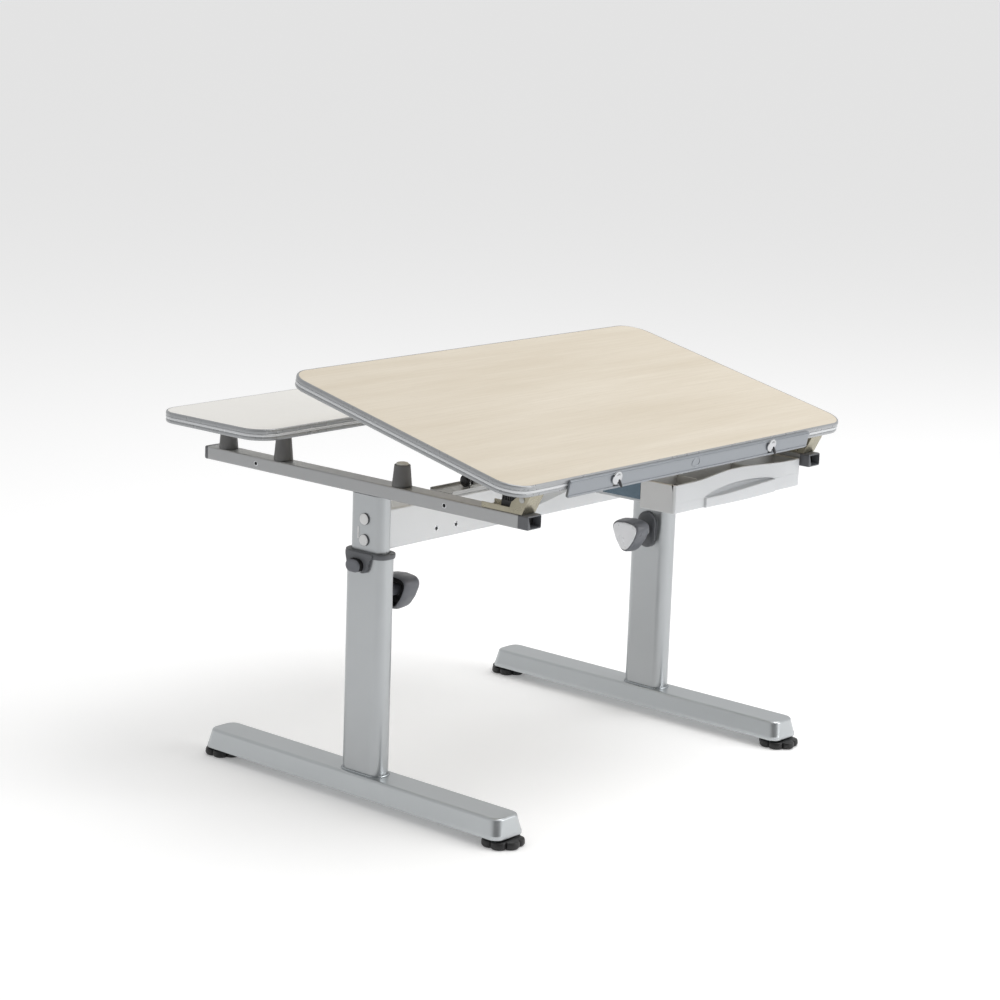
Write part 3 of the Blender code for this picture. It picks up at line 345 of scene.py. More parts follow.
def wood_laminate(name, pale, deep, lean):
    """Printed maple film: long soft figure along the width, fine pores and a faint pressed texture."""
    made = bpy.data.materials.new(name)
    made.use_nodes = True
    nodes, links = made.node_tree.nodes, made.node_tree.links
    shader = nodes["Principled BSDF"]
    place = nodes.new("ShaderNodeTexCoord")
    turn = nodes.new("ShaderNodeMapping")
    turn.vector_type = "POINT"
    turn.inputs["Rotation"].default_value = (lean, 0.0, 0.0)
    links.new(place.outputs["Object"], turn.inputs["Vector"])

    def stretched(scale):
        step = nodes.new("ShaderNodeMapping")
        step.inputs["Scale"].default_value = scale
        links.new(turn.outputs["Vector"], step.inputs["Vector"])
        return step.outputs["Vector"]

    figure = noise(nodes, links, stretched((0.9, 9.0, 1.0)), 2.6, 5.0, 0.55)
    fibres = noise(nodes, links, stretched((4.0, 150.0, 4.0)), 2.0, 6.0, 0.65)
    pores = noise(nodes, links, stretched((14.0, 420.0, 14.0)), 3.0, 2.0, 0.5)
    fibre_tone = tuple(c * 0.90 for c in deep)
    pore_tone = tuple(c * 0.80 for c in deep)
    tone = blend(nodes, links, spread(nodes, links, figure, 0.0, 1.0), pale, deep)
    tone = blend(nodes, links, spread(nodes, links, fibres, 0.0, 0.35), tone, fibre_tone)
    tone = blend(nodes, links, spread(nodes, links, pores, 0.0, 0.5, 0.62, 0.75), tone, pore_tone)
    links.new(tone, shader.inputs["Base Color"])
    links.new(spread(nodes, links, fibres, 0.40, 0.52), shader.inputs["Roughness"])
    emboss(nodes, links, pores, 0.06, 0.0003, shader)
    shader.inputs["Specular IOR Level"].default_value = 0.4
    return made


# Numbers after the colour: roughness, metallic, mottle and its scale, grain scale, bump.
SILVER = surface("silver_paint", rgb(176, 179, 181), 0.30, 0.80, 0.012, 9.0, 1600.0, 0.04,
                 rough_spread=0.02, coat=0.15)
# A lighter copy of the silver paint for the feet: painted light standing for the brighter light on them.
SILVER_FOOT_LIT = surface("silver_paint_lit_for_feet", rgb(190, 194, 196), 0.30, 0.80, 0.012, 9.0, 1600.0, 0.04,
                      rough_spread=0.02, coat=0.15)
PALE_PAINT = surface("pale_paint", rgb(216, 218, 220), 0.34, 0.25, 0.01, 9.0, 1600.0, 0.04,
                     rough_spread=0.03, coat=0.2)
RAIL_PAINT = surface("rail_paint", rgb(164, 165, 166), 0.36, 0.70, 0.015, 12.0, 1600.0, 0.05,
                     rough_spread=0.03, coat=0.1)
WELD = surface("painted_weld", rgb(170, 175, 178), 0.28, 0.85, 0.08, 60.0, 700.0, 0.4)
GREY_PLASTIC = surface("grey_plastic", rgb(92, 94, 98), 0.40, 0.0, 0.05, 30.0, 2200.0, 0.12)
KNOB_PLASTIC = surface("knob_plastic", rgb(98, 100, 106), 0.34, 0.0, 0.05, 30.0, 2200.0, 0.10)
# Dark plastic, also used as painted shade lining the knobs' hollow backs.
DARK_PLASTIC_AND_SHADE = surface("dark_plastic_and_painted_shade", rgb(32, 33, 34), 0.6, 0.0, 0.05, 30.0, 2200.0, 0.15)
SPACER = surface("spacer_plastic", rgb(92, 92, 92), 0.44, 0.0, 0.06, 25.0, 2000.0, 0.15)
# Black plastic, also used as painted shade: the plug pocket's back sheet, the slide's hole discs and the button
# sides.
BLACK_AND_SHADE = surface("black_plastic", rgb(24, 24, 25), 0.42, 0.0, 0.10, 40.0, 1800.0, 0.2)
DOME = surface("pale_rubber", rgb(196, 196, 192), 0.55, 0.0, 0.03, 40.0, 1800.0, 0.15)
CAP = surface("cap_plastic", rgb(222, 222, 222), 0.42, 0.0, 0.02, 40.0, 1500.0, 0.12)
KNOB_FACE = surface("knob_face", rgb(226, 227, 230), 0.30, 0.15, 0.02, 30.0, 1500.0, 0.05)
TRAY = surface("tray_plastic", rgb(206, 208, 210), 0.42, 0.0, 0.012, 12.0, 2400.0, 0.10)
TRAY_INSIDE = surface("tray_rim", rgb(190, 187, 182), 0.5, 0.0, 0.012, 12.0, 2400.0, 0.10)
ZINC = surface("yellow_zinc", rgb(158, 153, 136), 0.30, 0.80, 0.10, 38.0, 1500.0, 0.10, wear=0.12)
ZINC_GREY = surface("grey_zinc", rgb(172, 173, 172), 0.34, 0.50, 0.08, 38.0, 1500.0, 0.10, wear=0.12)
SLIDE = surface("blue_zinc", rgb(112, 128, 140), 0.22, 0.95, 0.04, 25.0, 1200.0, 0.06, (1, 6, 6), 0.05)
STEEL = surface("bright_steel", rgb(200, 202, 204), 0.20, 1.0, 0.04, 45.0, 1500.0, 0.05)
# Dark steel, also used as painted shade on the thumbscrew wings.
DARK_STEEL_AND_SHADE = surface("dark_steel_and_painted_shade", rgb(58, 58, 60), 0.36, 0.8, 0.10, 60.0, 1500.0, 0.15)
CHROME = surface("chrome", rgb(196, 197, 199), 0.12, 1.0, 0.02, 30.0, 900.0, 0.01, rough_spread=0.03)
LEDGE = surface("ledge_aluminium", rgb(146, 150, 155), 0.34, 0.70, 0.02, 8.0, 1100.0, 0.10,
                (0.05, 3, 3), 0.05)
BAND = surface("edge_band", rgb(158, 160, 162), 0.28, 0.35, 0.01, 12.0, 2000.0, 0.03,
               rough_spread=0.02, coat=0.3)
# Pale colour for the band's ridge: a painted highlight line.
BAND_HIGHLIGHT = surface("edge_band_ridge_highlight", rgb(204, 206, 208), 0.26, 0.25, 0.01, 12.0, 2000.0, 0.02,
                     rough_spread=0.02, coat=0.3)
WHITE = surface("white_laminate", rgb(232, 230, 225), 0.46, 0.0, 0.012, 5.0, 1300.0, 0.08)
MAPLE = wood_laminate("maple_laminate", rgb(219, 210, 194), rgb(208, 197, 178), -TILT_ANGLE)


# ---------------------------------------------------------------- base

FOOT_INSET = 5.5                # each side, from the bottom edge to the top face
FOOT_FILLET = 4.5
KNOB_REACH = 26.0               # mean radius of the knob
KNOB_STEPS = 96


def foot(label):
    box = Box("foot_" + label)
    centre = (box.mid.x, box.mid.y)
    width, length = box.size.x, box.size.y
    low, high = box.lo.z, box.hi.z
    corner = 14.0

    def ring(inset, z, radius):
        return on_axis(rounded_rect(width - 2 * inset, length - 2 * inset, radius, centre), "Z", z)

    outer = [ring(0.5, low, corner), ring(0.0, low + 0.8, corner), ring(0.3, low + 6.0, corner),
             ring(0.9, low + 7.0, corner)]
    shoulder = high - FOOT_FILLET
    for step in range(7):
        angle = math.pi / 2 * step / 6
        inset = FOOT_INSET - 1.0 + FOOT_FILLET * (1 - math.cos(angle))
        outer.append(ring(inset, shoulder + FOOT_FILLET * math.sin(angle),
                          corner + 1.0 - FOOT_FILLET * 0.4 * step / 6))
    inner = [ring(2.2, low, corner - 2.2), ring(FOOT_INSET + 1.6, high - 3.4, corner - 3.0)]
    solids = [loft(inner[::-1] + outer)]
    for end in ("front", "rear"):
        place = joint_place(f"leveler_{end}_{label}_spin")
        solids.append(tube(circle(10.0, place), circle(5.4, place), "Z", low + 1.0, high - 3.0))
    build("foot_shell_" + label, solids, SILVER_FOOT_LIT, "base", "foot_" + label, bevel=0.25)
    column = Box("lower_column_" + label)
    outline = rounded_rect(column.size.x + 1.6, column.size.y + 1.6, 15.8, (column.mid.x, column.mid.y), 14)
    dense, path = [], []
    for i, start in enumerate(outline):
        end = outline[(i + 1) % len(outline)]
        span = math.hypot(end[0] - start[0], end[1] - start[1])
        pieces = max(1, round(span / 1.6))
        for k in range(pieces):
            dense.append((start[0] + (end[0] - start[0]) * k / pieces,
                          start[1] + (end[1] - start[1]) * k / pieces))
    for x, y in dense:
        out = Vector((x - column.mid.x, (y - column.mid.y) * 0.35, 0.0)).normalized()
        path.append((x, y, high + 0.4, out.x, out.y))
    build("foot_weld_" + label, [bead(path, 1.9, 0.10)], WELD, "base", ())


def leveler(label, end):
    node = f"leveler_{end}_{label}"
    box = Box(node)
    place = joint_place(node + "_spin")
    centre = (place.x, place.y)
    steps = 7 * 16

    def star(scale, soften):
        def reach(angle):
            wave = abs(math.cos(3.5 * angle)) ** soften
            return (25.5 + 6.2 * wave) * scale
        return polar(reach, centre, steps)

    top = 13.4
    loops = [on_axis(star(0.80, 0.8), "Z", 0.0), on_axis(star(0.93, 0.7), "Z", 0.6),
             on_axis(star(0.985, 0.6), "Z", 2.4), on_axis(star(1.0, 0.55), "Z", 4.5),
             on_axis(star(0.99, 0.55), "Z", 8.8), on_axis(star(0.965, 0.6), "Z", 10.6),
             on_axis(star(0.91, 0.7), "Z", 11.6), on_axis(star(0.62, 1.6), "Z", 11.9),
             on_axis(circle(13.0, centre, steps), "Z", 12.2), on_axis(circle(12.0, centre, steps), "Z", top),
             on_axis(circle(6.4, centre, steps), "Z", top)]
    build(node + "_wheel", [loft(loops)], BLACK_AND_SHADE, node, node)
    thread = []
    z = top
    while z < box.hi.z - 1.4:
        thread += [(4.3, z), (4.95, z + 0.6)]
        z += 1.2
    thread.append((4.3, box.hi.z))
    build(node + "_stud", [turned(thread, centre, "Z", 24)], STEEL, node, ())


def column_tube(name, node, radius, wall, body):
    box = Box(node)
    centre = (box.mid.x, box.mid.y)
    outer = rounded_rect(box.size.x, box.size.y, radius, centre, 16)
    inner = rounded_rect(box.size.x - 2 * wall, box.size.y - 2 * wall, radius - wall, centre, 16)
    build(name, [tube(outer, inner, "Z", box.lo.z, box.hi.z)], SILVER, body, node, bevel=0.3)


def collar(label, side):
    box = Box("collar_" + label)
    lower = Box("lower_column_" + label)
    upper = Box("upper_column_" + label)
    centre = (lower.mid.x, lower.mid.y)

    def oval(reference, grow, radius, z):
        outline = rounded_rect(reference.size.x + 2 * grow, reference.size.y + 2 * grow, radius, centre)
        return on_axis(outline, "Z", z)

    top = box.hi.z
    loops = [oval(upper, 0.3, 12.3, box.lo.z), oval(upper, 0.3, 12.3, top - 1.4),
             oval(upper, 0.9, 12.9, top - 0.5), oval(upper, 2.0, 14.0, top),
             oval(lower, 1.2, 16.0, top), oval(lower, 2.1, 17.0, top - 0.5),
             oval(lower, 2.6, 17.5, top - 1.5), oval(lower, 2.7, 17.6, top - 3.5),
             oval(lower, 2.4, 17.3, top - 6.0), oval(lower, 1.9, 16.8, top - 7.4),
             oval(lower, 0.3, 15.3, top - 8.0), oval(lower, 0.3, 15.3, lower.hi.z + 0.3),
             oval(lower, -2.1, 12.9, lower.hi.z + 0.3), oval(lower, -2.1, 12.9, box.lo.z)]
    face = abs(lower.mid.x) + lower.size.x / 2 + 0.3
    button = Box("collar_button_" + label)
    centre_y = button.mid.y
    base_z = button.mid.z
    tongue = []
    for y, z in ((-30.0, top - 1.0), (-30.0, top - 6.0), (-25.0, top - 9.5), (-20.5, base_z - 6.0),
                 (-17.0, base_z - 9.4), (-12.0, base_z - 10.6), (-6.0, base_z - 9.6), (8.0, base_z - 7.6),
                 (16.0, base_z - 5.0), (19.0, base_z), (22.0, top - 7.0), (22.0, top - 1.0)):
        tongue.append((centre_y + y, z))
    skirt = prism(tongue, "X", side * face, side * (face + 4.6))
    pocket = prism(rounded_rect(button.size.y + 0.7, button.size.z + 0.7, 10.0, (centre_y, base_z)), "X",
                   side * (face + 1.0), side * (face + 9.0))
    build("collar_bush_" + label, [loft(loops, ring=True)], GREY_PLASTIC, "base", "collar_" + label)
    build("collar_skirt_" + label, [skirt], GREY_PLASTIC, "base", (), bevel=1.3,
          cuts=[pocket])
    inner_face = abs(lower.mid.x) - lower.size.x / 2 - 1.5
    lug = []
    for grow, rise in ((0.0, 0.0), (0.0, 4.2), (-1.0, 5.6), (-3.0, 6.4)):
        outline = rounded_rect(22.0 + grow, 8.6 + grow, 3.6, (lower.mid.y - 1.0, top - 5.0))
        lug.append(on_axis(outline, "X", side * (inner_face - rise)))
    build("collar_lug_" + label, [loft(lug)], GREY_PLASTIC, "base", ())
    reach = abs(button.lo.x if side < 0 else button.hi.x)
    back = min(abs(button.lo.x), abs(button.hi.x))

    def oblong(inset, distance):
        return on_axis(rounded_rect(button.size.y - 2 * inset, button.size.z - 2 * inset,
                                    button.size.z / 2 - inset, (centre_y, base_z)), "X", side * distance)

    rings = [oblong(inset, distance) for inset, distance in
             ((0.5, reach - 2.4), (0.15, reach - 2.1), (0.3, reach - 1.3), (1.2, reach - 0.5),
              (2.6, reach - 0.1), (5.0, reach), (7.0, reach - 0.35))]
    build("button_cap_" + label, [loft(rings)], KNOB_PLASTIC, "button_" + label, "collar_button_" + label)
    # The button's side behind the cap is drawn black: painted shade on its side.
    rings = [oblong(0.3, back), oblong(0.3, reach - 2.5)]
    build("button_shaded_side_" + label, [loft(rings)], BLACK_AND_SHADE, "button_" + label, ())


def knob(label, side):
    base = Box("knob_base_" + label)
    centre = (base.mid.y, base.mid.z)
    outside = max(abs(base.lo.x), abs(base.hi.x))
    front = min(abs(base.lo.x), abs(base.hi.x))
    rings = []
    for inset, distance in ((0.0, outside), (0.0, front + 1.8), (0.5, front + 0.7), (1.8, front),
                            (7.0, front)):
        width, height = base.size.y - 2 * inset, base.size.z - 2 * inset
        outline = rounded_rect(width, height, base.size.y / 2 - inset, centre)
        rings.append(on_axis(outline, "X", side * distance))
    rings.append(on_axis(rounded_rect(24.0, 24.0, 12.0, centre), "X", side * front))
    build("knob_plate_" + label, [loft(rings)], GREY_PLASTIC, "base", "knob_base_" + label)

    def shield(scale):
        """The knob's three-sided outline."""
        def reach(angle):
            turn = angle + math.pi / 2
            return KNOB_REACH * scale * (1 + 0.145 * math.cos(3 * turn) + 0.030 * math.cos(6 * turn))
        return polar(reach, centre, KNOB_STEPS)

    def round_ring(radius):
        return circle(radius, centre, KNOB_STEPS)

    def at(outline, distance):
        return on_axis(outline, "X", side * distance)

    # Distances are from the middle of the desk: the bolt, the sleeve, the hollow back, the rim and the sides.
    loops = [at(round_ring(5.5), 322.0), at(round_ring(5.5), front - 0.4), at(round_ring(8.6), front - 0.4),
             at(round_ring(8.6), 278.0)]
    for scale, distance in ((0.58, 275.5), (0.76, 278.0), (0.84, 289.6), (0.87, 290.3), (0.905, 289.6),
                            (0.965, 286.4), (1.0, 281.5), (1.005, 277.0), (0.99, 270.0), (0.955, 262.0),
                            (0.925, 259.4), (0.895, 258.4), (0.85, 258.1)):
        loops.append(at(shield(scale), distance))
    build("knob_body_" + label, [loft(loops)], KNOB_PLASTIC, "knob_" + label, "locking_knob_" + label)
    # A dark lining over the knob's hollow back: painted shade in the recess.
    hollow = [at(round_ring(8.8), 278.6)]
    for scale, distance in ((0.575, 276.1), (0.755, 278.4), (0.82, 288.0), (0.83, 287.8), (0.765, 278.0),
                            (0.575, 275.8)):
        hollow.append(at(shield(scale), distance))
    hollow.append(at(round_ring(8.8), 278.2))
    build("knob_hollow_" + label, [loft(hollow, ring=True)], DARK_PLASTIC_AND_SHADE, "knob_" + label, ())
    face = [at(shield(scale), distance) for scale, distance in
            ((0.835, 258.6), (0.835, 257.4), (0.825, 256.6), (0.80, 256.2), (0.60, 255.9), (0.30, 255.7))]
    build("knob_face_" + label, [loft(face)], KNOB_FACE, "knob_" + label, ())
    washer = [(7.4, front - 0.1), (7.4, front - 2.2), (9.8, front - 2.2), (9.8, front - 3.6),
              (8.4, front - 4.0)]
    build("knob_nut_" + label, [turned([(r, side * d) for r, d in washer], centre, "X", 24)], STEEL,
          "knob_" + label, (), bevel=0.3)


def base_parts():
    for label, side in SIDES:
        foot(label)
        for end in ("front", "rear"):
            leveler(label, end)
        column_tube("column_outer_" + label, "lower_column_" + label, 15.0, 1.8, "base")
        column_tube("column_inner_" + label, "upper_column_" + label, 12.0, 1.6, "upper_frame")
        collar(label, side)
        knob(label, side)


# ---------------------------------------------------------------- lifting frame

def bolt_cap(label, side, row):
    node = f"bolt_cap_{row}_{label}"
    box = Box(node)
    centre = (box.mid.y, box.mid.z)
    near = min(abs(box.lo.x), abs(box.hi.x))
    far = max(abs(box.lo.x), abs(box.hi.x))
    profile = [(4.6, near), (4.6, far - 1.6), (8.3, far - 1.0), (8.3, far - 0.7), (8.0, far - 0.35),
               (7.4, far - 0.1), (6.0, far + 0.15), (2.0, far + 0.2)]
    solids = [turned([(r, side * d) for r, d in profile], centre, "X")]
    build(node + "_cover", solids, CAP, "upper_frame", node)
    ring = [(5.0, far - 2.95), (8.65, far - 2.95), (8.65, far - 0.95), (8.3, far - 0.8), (5.0, far - 0.8)]
    loops = [on_axis(circle(r, centre), "X", side * d) for r, d in ring]
    build(node + "_seat", [loft(loops, ring=True)], GREY_PLASTIC, "upper_frame", ())
    if row == "lower":
        # A small pale upright strip on the column's outer face beside the lower cap.
        strip_outline = rounded_rect(2.4, 18.0, 1.1, (centre[0] + 12.5, centre[1] + 9.5), 5)
        build("pale_strip_" + label, [prism(strip_outline, "X", side * (far - 3.1), side * (far - 2.6))], CAP,
              "upper_frame", ())


def hole_rim(hole, axis, face, way, section):
    """Raised rim round a hole, from (radius, rise off the face) pairs."""
    return loft([on_axis(circle(r, hole, 24), axis, face + way * rise) for r, rise in section], ring=True)


def rail(label, side):
    node = "side_rail_" + label
    box = Box(node)
    centre = (box.mid.x, box.mid.z)
    outer = rounded_rect(box.size.x, box.size.z, 2.4, centre, 6)
    inner = rounded_rect(box.size.x - 3.0, box.size.z - 3.0, 1.2, centre, 6)
    reach = side * (abs(box.mid.x) + box.size.x / 2)
    cuts, rims = [], []
    for y in (box.hi.y - 105.0, box.lo.y + 135.0):
        hole = (y, box.mid.z)
        cuts.append(prism(circle(2.7, hole, 24), "X", side * 300.0, side * 372.0))
        section = ((2.7, -0.6), (2.7, 0.12), (3.3, 0.32), (4.1, 0.06), (4.1, -0.6))
        rims.append(hole_rim(hole, "X", reach, side, section))
    build("rail_tube_" + label, [tube(outer, inner, "Y", box.lo.y, box.hi.y)], RAIL_PAINT, "upper_frame",
          node, bevel=0.3, cuts=cuts)
    build("rail_hole_rims_" + label, rims, STEEL, "upper_frame", ())


def plug(name, label, front, node):
    """Rail end plug: a head flush with the tube, and a pocket with one slanted side."""
    rail_box = Box("side_rail_" + label)
    x, z = centre = (rail_box.mid.x, rail_box.mid.z)
    width, height = rail_box.size.x, rail_box.size.z
    edge = rail_box.lo.y if front else rail_box.hi.y
    way = -1.0 if front else 1.0
    length = 17.7 if front else 7.0
    rings = []
    for inset, distance in ((1.9, -14.0), (1.9, 0.25), (0.0, 0.3), (0.0, length - 1.8), (0.35, length - 0.8),
                            (1.1, length - 0.2), (2.2, length), (4.0, length)):
        outline = rounded_rect(width - 2 * inset, height - 2 * inset, max(0.6, 2.6 - 0.6 * inset), centre, 6)
        rings.append(on_axis(outline, "Y", edge + way * distance))
    cuts = []
    if front:
        mouth = [(x - 12.8, z + 7.8), (x - 8.4, z - 8.0), (x + 12.0, z - 8.0), (x + 13.2, z - 6.4),
                 (x + 13.2, z + 6.8), (x + 12.2, z + 7.8)]
        deep = [(x - 4.0, z + 6.0), (x - 4.6, z - 6.4), (x + 10.8, z - 6.4), (x + 11.4, z - 5.0),
                (x + 11.4, z + 5.6), (x + 10.8, z + 6.2)]
        cuts = [loft([on_axis(mouth, "Y", edge - length - 0.5), on_axis(mouth, "Y", edge - length + 0.6),
                      on_axis(deep, "Y", edge - length + 13.0)])]
    build(name, [loft(rings)], GREY_PLASTIC, "upper_frame", node,
          bevel=0.35 if front else 0.0, cuts=cuts)
    if front:
        back_wall = edge - length + 12.6
        shade = rectangle(x - 4.4, x + 11.6, z - 6.6, z + 6.4)
        build(name + "_shadow", [prism(shade, "Y", back_wall, back_wall + 0.4)], BLACK_AND_SHADE, "upper_frame", ())


def spacer(node, finish_top=0.0):
    box = Box(node)
    centre = (box.mid.x, box.mid.y)
    low, high = box.lo.z, box.hi.z - finish_top
    wide, narrow = box.size.x / 2, 11.4
    profile = [(wide - 0.6, low), (wide, low + 0.5), (wide - 0.1, low + 1.6), (narrow + 0.2, high - 0.8),
               (narrow - 0.3, high - 0.2), (narrow - 1.2, high), (6.0, high), (5.6, high - 0.4)]
    build(node + "_post", [turned(profile, centre, "Z", 48)], SPACER, "upper_frame", node)
    if finish_top:
        dome = [(9.2, high - 0.4), (9.2, high + 0.7), (8.8, high + 1.7), (7.6, high + 2.6), (5.2, high + 3.2),
                (2.4, high + 3.45)]
        build(node + "_dome", [turned(dome, centre, "Z", 36)], DOME, "upper_frame", ())


def crossbeam():
    box = Box("crossbeam")
    centre = (box.mid.y, box.mid.z)
    outer = rounded_rect(box.size.y, box.size.z, 3.5, centre, 8)
    inner = rounded_rect(box.size.y - 4.0, box.size.z - 4.0, 1.5, centre, 8)
    cuts, rims = [], []
    for x in (-218.0, -175.0):
        hole = (x, box.lo.z + 16.0)
        cuts.append(prism(circle(2.6, hole, 24), "Y", box.lo.y - 4.0, box.lo.y + 8.0))
        section = ((2.6, -0.6), (2.6, 0.15), (3.2, 0.4), (4.6, 0.06), (4.6, -0.6))
        rims.append(hole_rim(hole, "Y", box.lo.y, -1, section))
    build("beam_tube", [tube(outer, inner, "X", box.lo.x, box.hi.x)], PALE_PAINT, "upper_frame", "crossbeam",
          bevel=0.3, cuts=cuts)
    build("beam_hole_rims", rims, STEEL, "upper_frame", ())
    for label, side in SIDES:
        edge = side * (box.hi.x - 0.2)
        flange = prism(rounded_rect(box.size.y - 3.0, box.size.z + 8.0, 3.0, (centre[0], centre[1])), "X",
                       edge - side * 3.0, edge)
        build("beam_end_plate_" + label, [flange], PALE_PAINT, "upper_frame", (), bevel=0.4)


def screw_head(centre, axis, base, rise, radius, way=1.0):
    """Low round head, from its seat to its crown."""
    profile = [(radius, base), (radius, base + way * rise * 0.35), (radius * 0.88, base + way * rise * 0.75),
               (radius * 0.6, base + way * rise), (radius * 0.25, base + way * rise * 0.95)]
    return turned(profile, centre, axis, 20)


def hinges():
    pivot = joint_place("tilt")
    for label, _ in SIDES:
        bracket = Box("hinge_bracket_" + label)
        refined("hinge_bracket_" + label, ZINC, "upper_frame", 0.4)
        refined("hinge_leaf_" + label, ZINC, "tilt_top", 0.35)
        heads = []
        for offset in (30.0, 58.0):
            heads.append(screw_head((bracket.mid.x, pivot.y + offset), "Z", bracket.lo.z + 2.0, 1.8, 4.2))
        build("hinge_screws_" + label, heads, STEEL, "upper_frame", ())
        pins = []
        for way in (-1, 1):
            start = bracket.mid.x + way * (bracket.size.x / 2 + 0.15)
            pins.append(screw_head((pivot.y, pivot.z), "X", start, 1.6, 4.6, way))
        build("hinge_pin_heads_" + label, pins, ZINC_GREY, "tilt_top", ())
        teeth = []
        for i in range(8):
            y = pivot.y + 8.5 + i * 4.2
            teeth.append(block((bracket.mid.x - 9.5, y, pivot.z - 6.6),
                               (bracket.mid.x + 9.5, y + 2.5, pivot.z + 2.6)))
        teeth.append(block((bracket.mid.x - 10.0, pivot.y + 8.0, bracket.lo.z + 2.05),
                           (bracket.mid.x + 10.0, pivot.y + 41.0, pivot.z - 6.0)))
        build("hinge_friction_comb_" + label, teeth, DARK_PLASTIC_AND_SHADE, "upper_frame", (), bevel=0.4)


RATCHET_TEETH = 18


def tilt_support():
    refined("tilt_base", ZINC_GREY, "upper_frame", 0.35)
    refined("tilt_top_rail", ZINC_GREY, "tilt_top", 0.35)
    refined("support_cross_rod", STEEL, "lower_support", 0.5)
    low_pivot = joint_place("lower_support_swing")
    high_pivot = joint_place("upper_support_swing")
    for label, side in SIDES:
        refined("lower_support_arm_" + label, ZINC_GREY, "lower_support", 0.4)
        refined("upper_support_arm_" + label, ZINC_GREY, "upper_support", 0.4)
        head = screw_head((low_pivot.y, low_pivot.z), "X", side * 142.0, 2.2, 6.5, side)
        washer = prism(circle(9.5, (low_pivot.y, low_pivot.z), 32), "X", side * 139.3, side * 141.6)
        build("lower_pivot_head_" + label, [head, washer], DARK_STEEL_AND_SHADE, "lower_support", (), bevel=0.3)
        head = screw_head((high_pivot.y, high_pivot.z), "X", side * 142.0, 2.0, 6.0, side)
        build("upper_pivot_head_" + label, [head], DARK_STEEL_AND_SHADE, "upper_support", (), bevel=0.3)
        disc = []
        for i in range(RATCHET_TEETH * 2):
            angle = 2 * math.pi * i / (RATCHET_TEETH * 2)
            radius = 11.0 if i % 2 else 9.0
            disc.append((low_pivot.y + radius * math.cos(angle),
                         low_pivot.z + 1.0 + radius * math.sin(angle)))
        build("ratchet_disc_" + label, [prism(disc, "X", side * 133.4, side * 135.7)], DARK_STEEL_AND_SHADE,
              "upper_frame", (), bevel=0.25)


# ---------------------------------------------------------------- boards

def board(name, node, finish, body, placement):
    box = Box(node, placement)
    outline = rounded_rect(box.size.x, box.size.y, 36.7, (box.mid.x, box.mid.y), 24)
    solids = [loft([on_axis(outline, "Z", box.lo.z), on_axis(outline, "Z", box.hi.z)])]
    return build(name, solids, finish, body, node, placement, bevel=0.25)


def edge_band(name, node, body, placement):
    """Moulded band with two soft beads and a ridge between them, coloured pale as a painted highlight."""
    box = Box(node, placement)
    centre = (box.mid.x, box.mid.y)
    low, high = box.lo.z, box.hi.z

    def loop(inset, z):
        outline = rounded_rect(box.size.x - 2 * inset, box.size.y - 2 * inset, 40.0 - inset, centre, 24)
        return on_axis(outline, "Z", z)

    section = [(3.1, low), (3.1, high - 0.1), (2.6, high + 0.15), (1.9, high), (1.1, high - 0.45),
               (0.5, high - 1.3), (0.15, high - 2.6), (0.1, high - 4.4), (0.25, high - 6.0),
               (0.75, high - 6.8), (1.1, high - 7.1), (1.1, low + 5.5), (0.75, low + 5.2),
               (0.3, low + 4.4), (0.15, low + 3.0), (0.5, low + 1.2), (1.2, low + 0.3), (2.0, low)]
    build(name + "_moulding", [loft([loop(inset, z) for inset, z in section], ring=True)], BAND, body, node,
          placement)
    ridge = [(1.6, low + 5.6), (1.6, high - 7.2), (0.75, high - 7.2), (0.25, high - 7.7), (0.05, high - 8.6),
             (0.05, low + 7.0), (0.25, low + 6.1), (0.75, low + 5.6)]
    build(name + "_ridge", [loft([loop(inset, z) for inset, z in ridge], ring=True)], BAND_HIGHLIGHT, body, (),
          placement)


SHANK_DEPTH = 10.0              # thumbscrew axis below the drawing surface


def ledge():
    box = Box("paper_ledge", TILTED)
    low, high = box.lo, box.hi
    middle = (box.mid.y, box.mid.z)
    stations = []
    for inset, x in ((2.6, low.x), (1.0, low.x + 0.8), (0.0, low.x + 2.6), (0.0, high.x - 2.6),
                     (1.0, high.x - 0.8), (2.6, high.x)):
        outline = rounded_rect(box.size.y - 0.5 * inset, box.size.z - 2 * inset, 1.5, middle, 6)
        stations.append(on_axis(outline, "X", x))
    cuts = []
    for label, _ in SIDES:
        screw = Box("thumbscrew_" + label, TILTED)
        shank_z = board_top() - SHANK_DEPTH
        slot_low, slot_high = shank_z - 15.3, shank_z + 3.3
        outline = rounded_rect(6.6, slot_high - slot_low, 3.3, (screw.mid.x, (slot_low + slot_high) / 2))
        cuts.append(prism(outline, "Y", low.y - 3.0, high.y + 3.0))
    build("ledge_strip", [loft(stations)], LEDGE, "ledge", "paper_ledge", TILTED,
          cuts=cuts, bevel=0.3)
    ribs = []
    for z in (high.z - 3.2, low.z + 3.2):
        stations = []
        for inset, x in ((0.8, low.x + 1.0), (0.0, low.x + 2.0), (0.0, high.x - 2.0), (0.8, high.x - 1.0)):
            outline = rounded_rect(1.4 - 0.3 * inset, 2.2 - inset, 0.6, (low.y - 0.2, z), 5)
            stations.append(on_axis(outline, "X", x))
        ribs.append(loft(stations))
    build("ledge_ribs", ribs, LEDGE, "ledge", (), TILTED)
    oval_z = board_top() - 12.8
    loops = []
    for grow, rise in ((0.62, -0.1), (0.62, 0.35), (1.0, 0.6), (1.38, 0.35), (1.38, -0.1)):
        outline = []
        for i in range(ROUND_STEPS):
            angle = 2 * math.pi * i / ROUND_STEPS
            outline.append(((8.0 + grow) * math.cos(angle), oval_z + (5.6 + grow) * math.sin(angle)))
        loops.append(on_axis(outline, "Y", low.y - rise))
    build("ledge_oval", [loft(loops, ring=True)], LEDGE, "ledge", (), TILTED)


def board_top():
    return Box("tilting_top", TILTED).hi.z


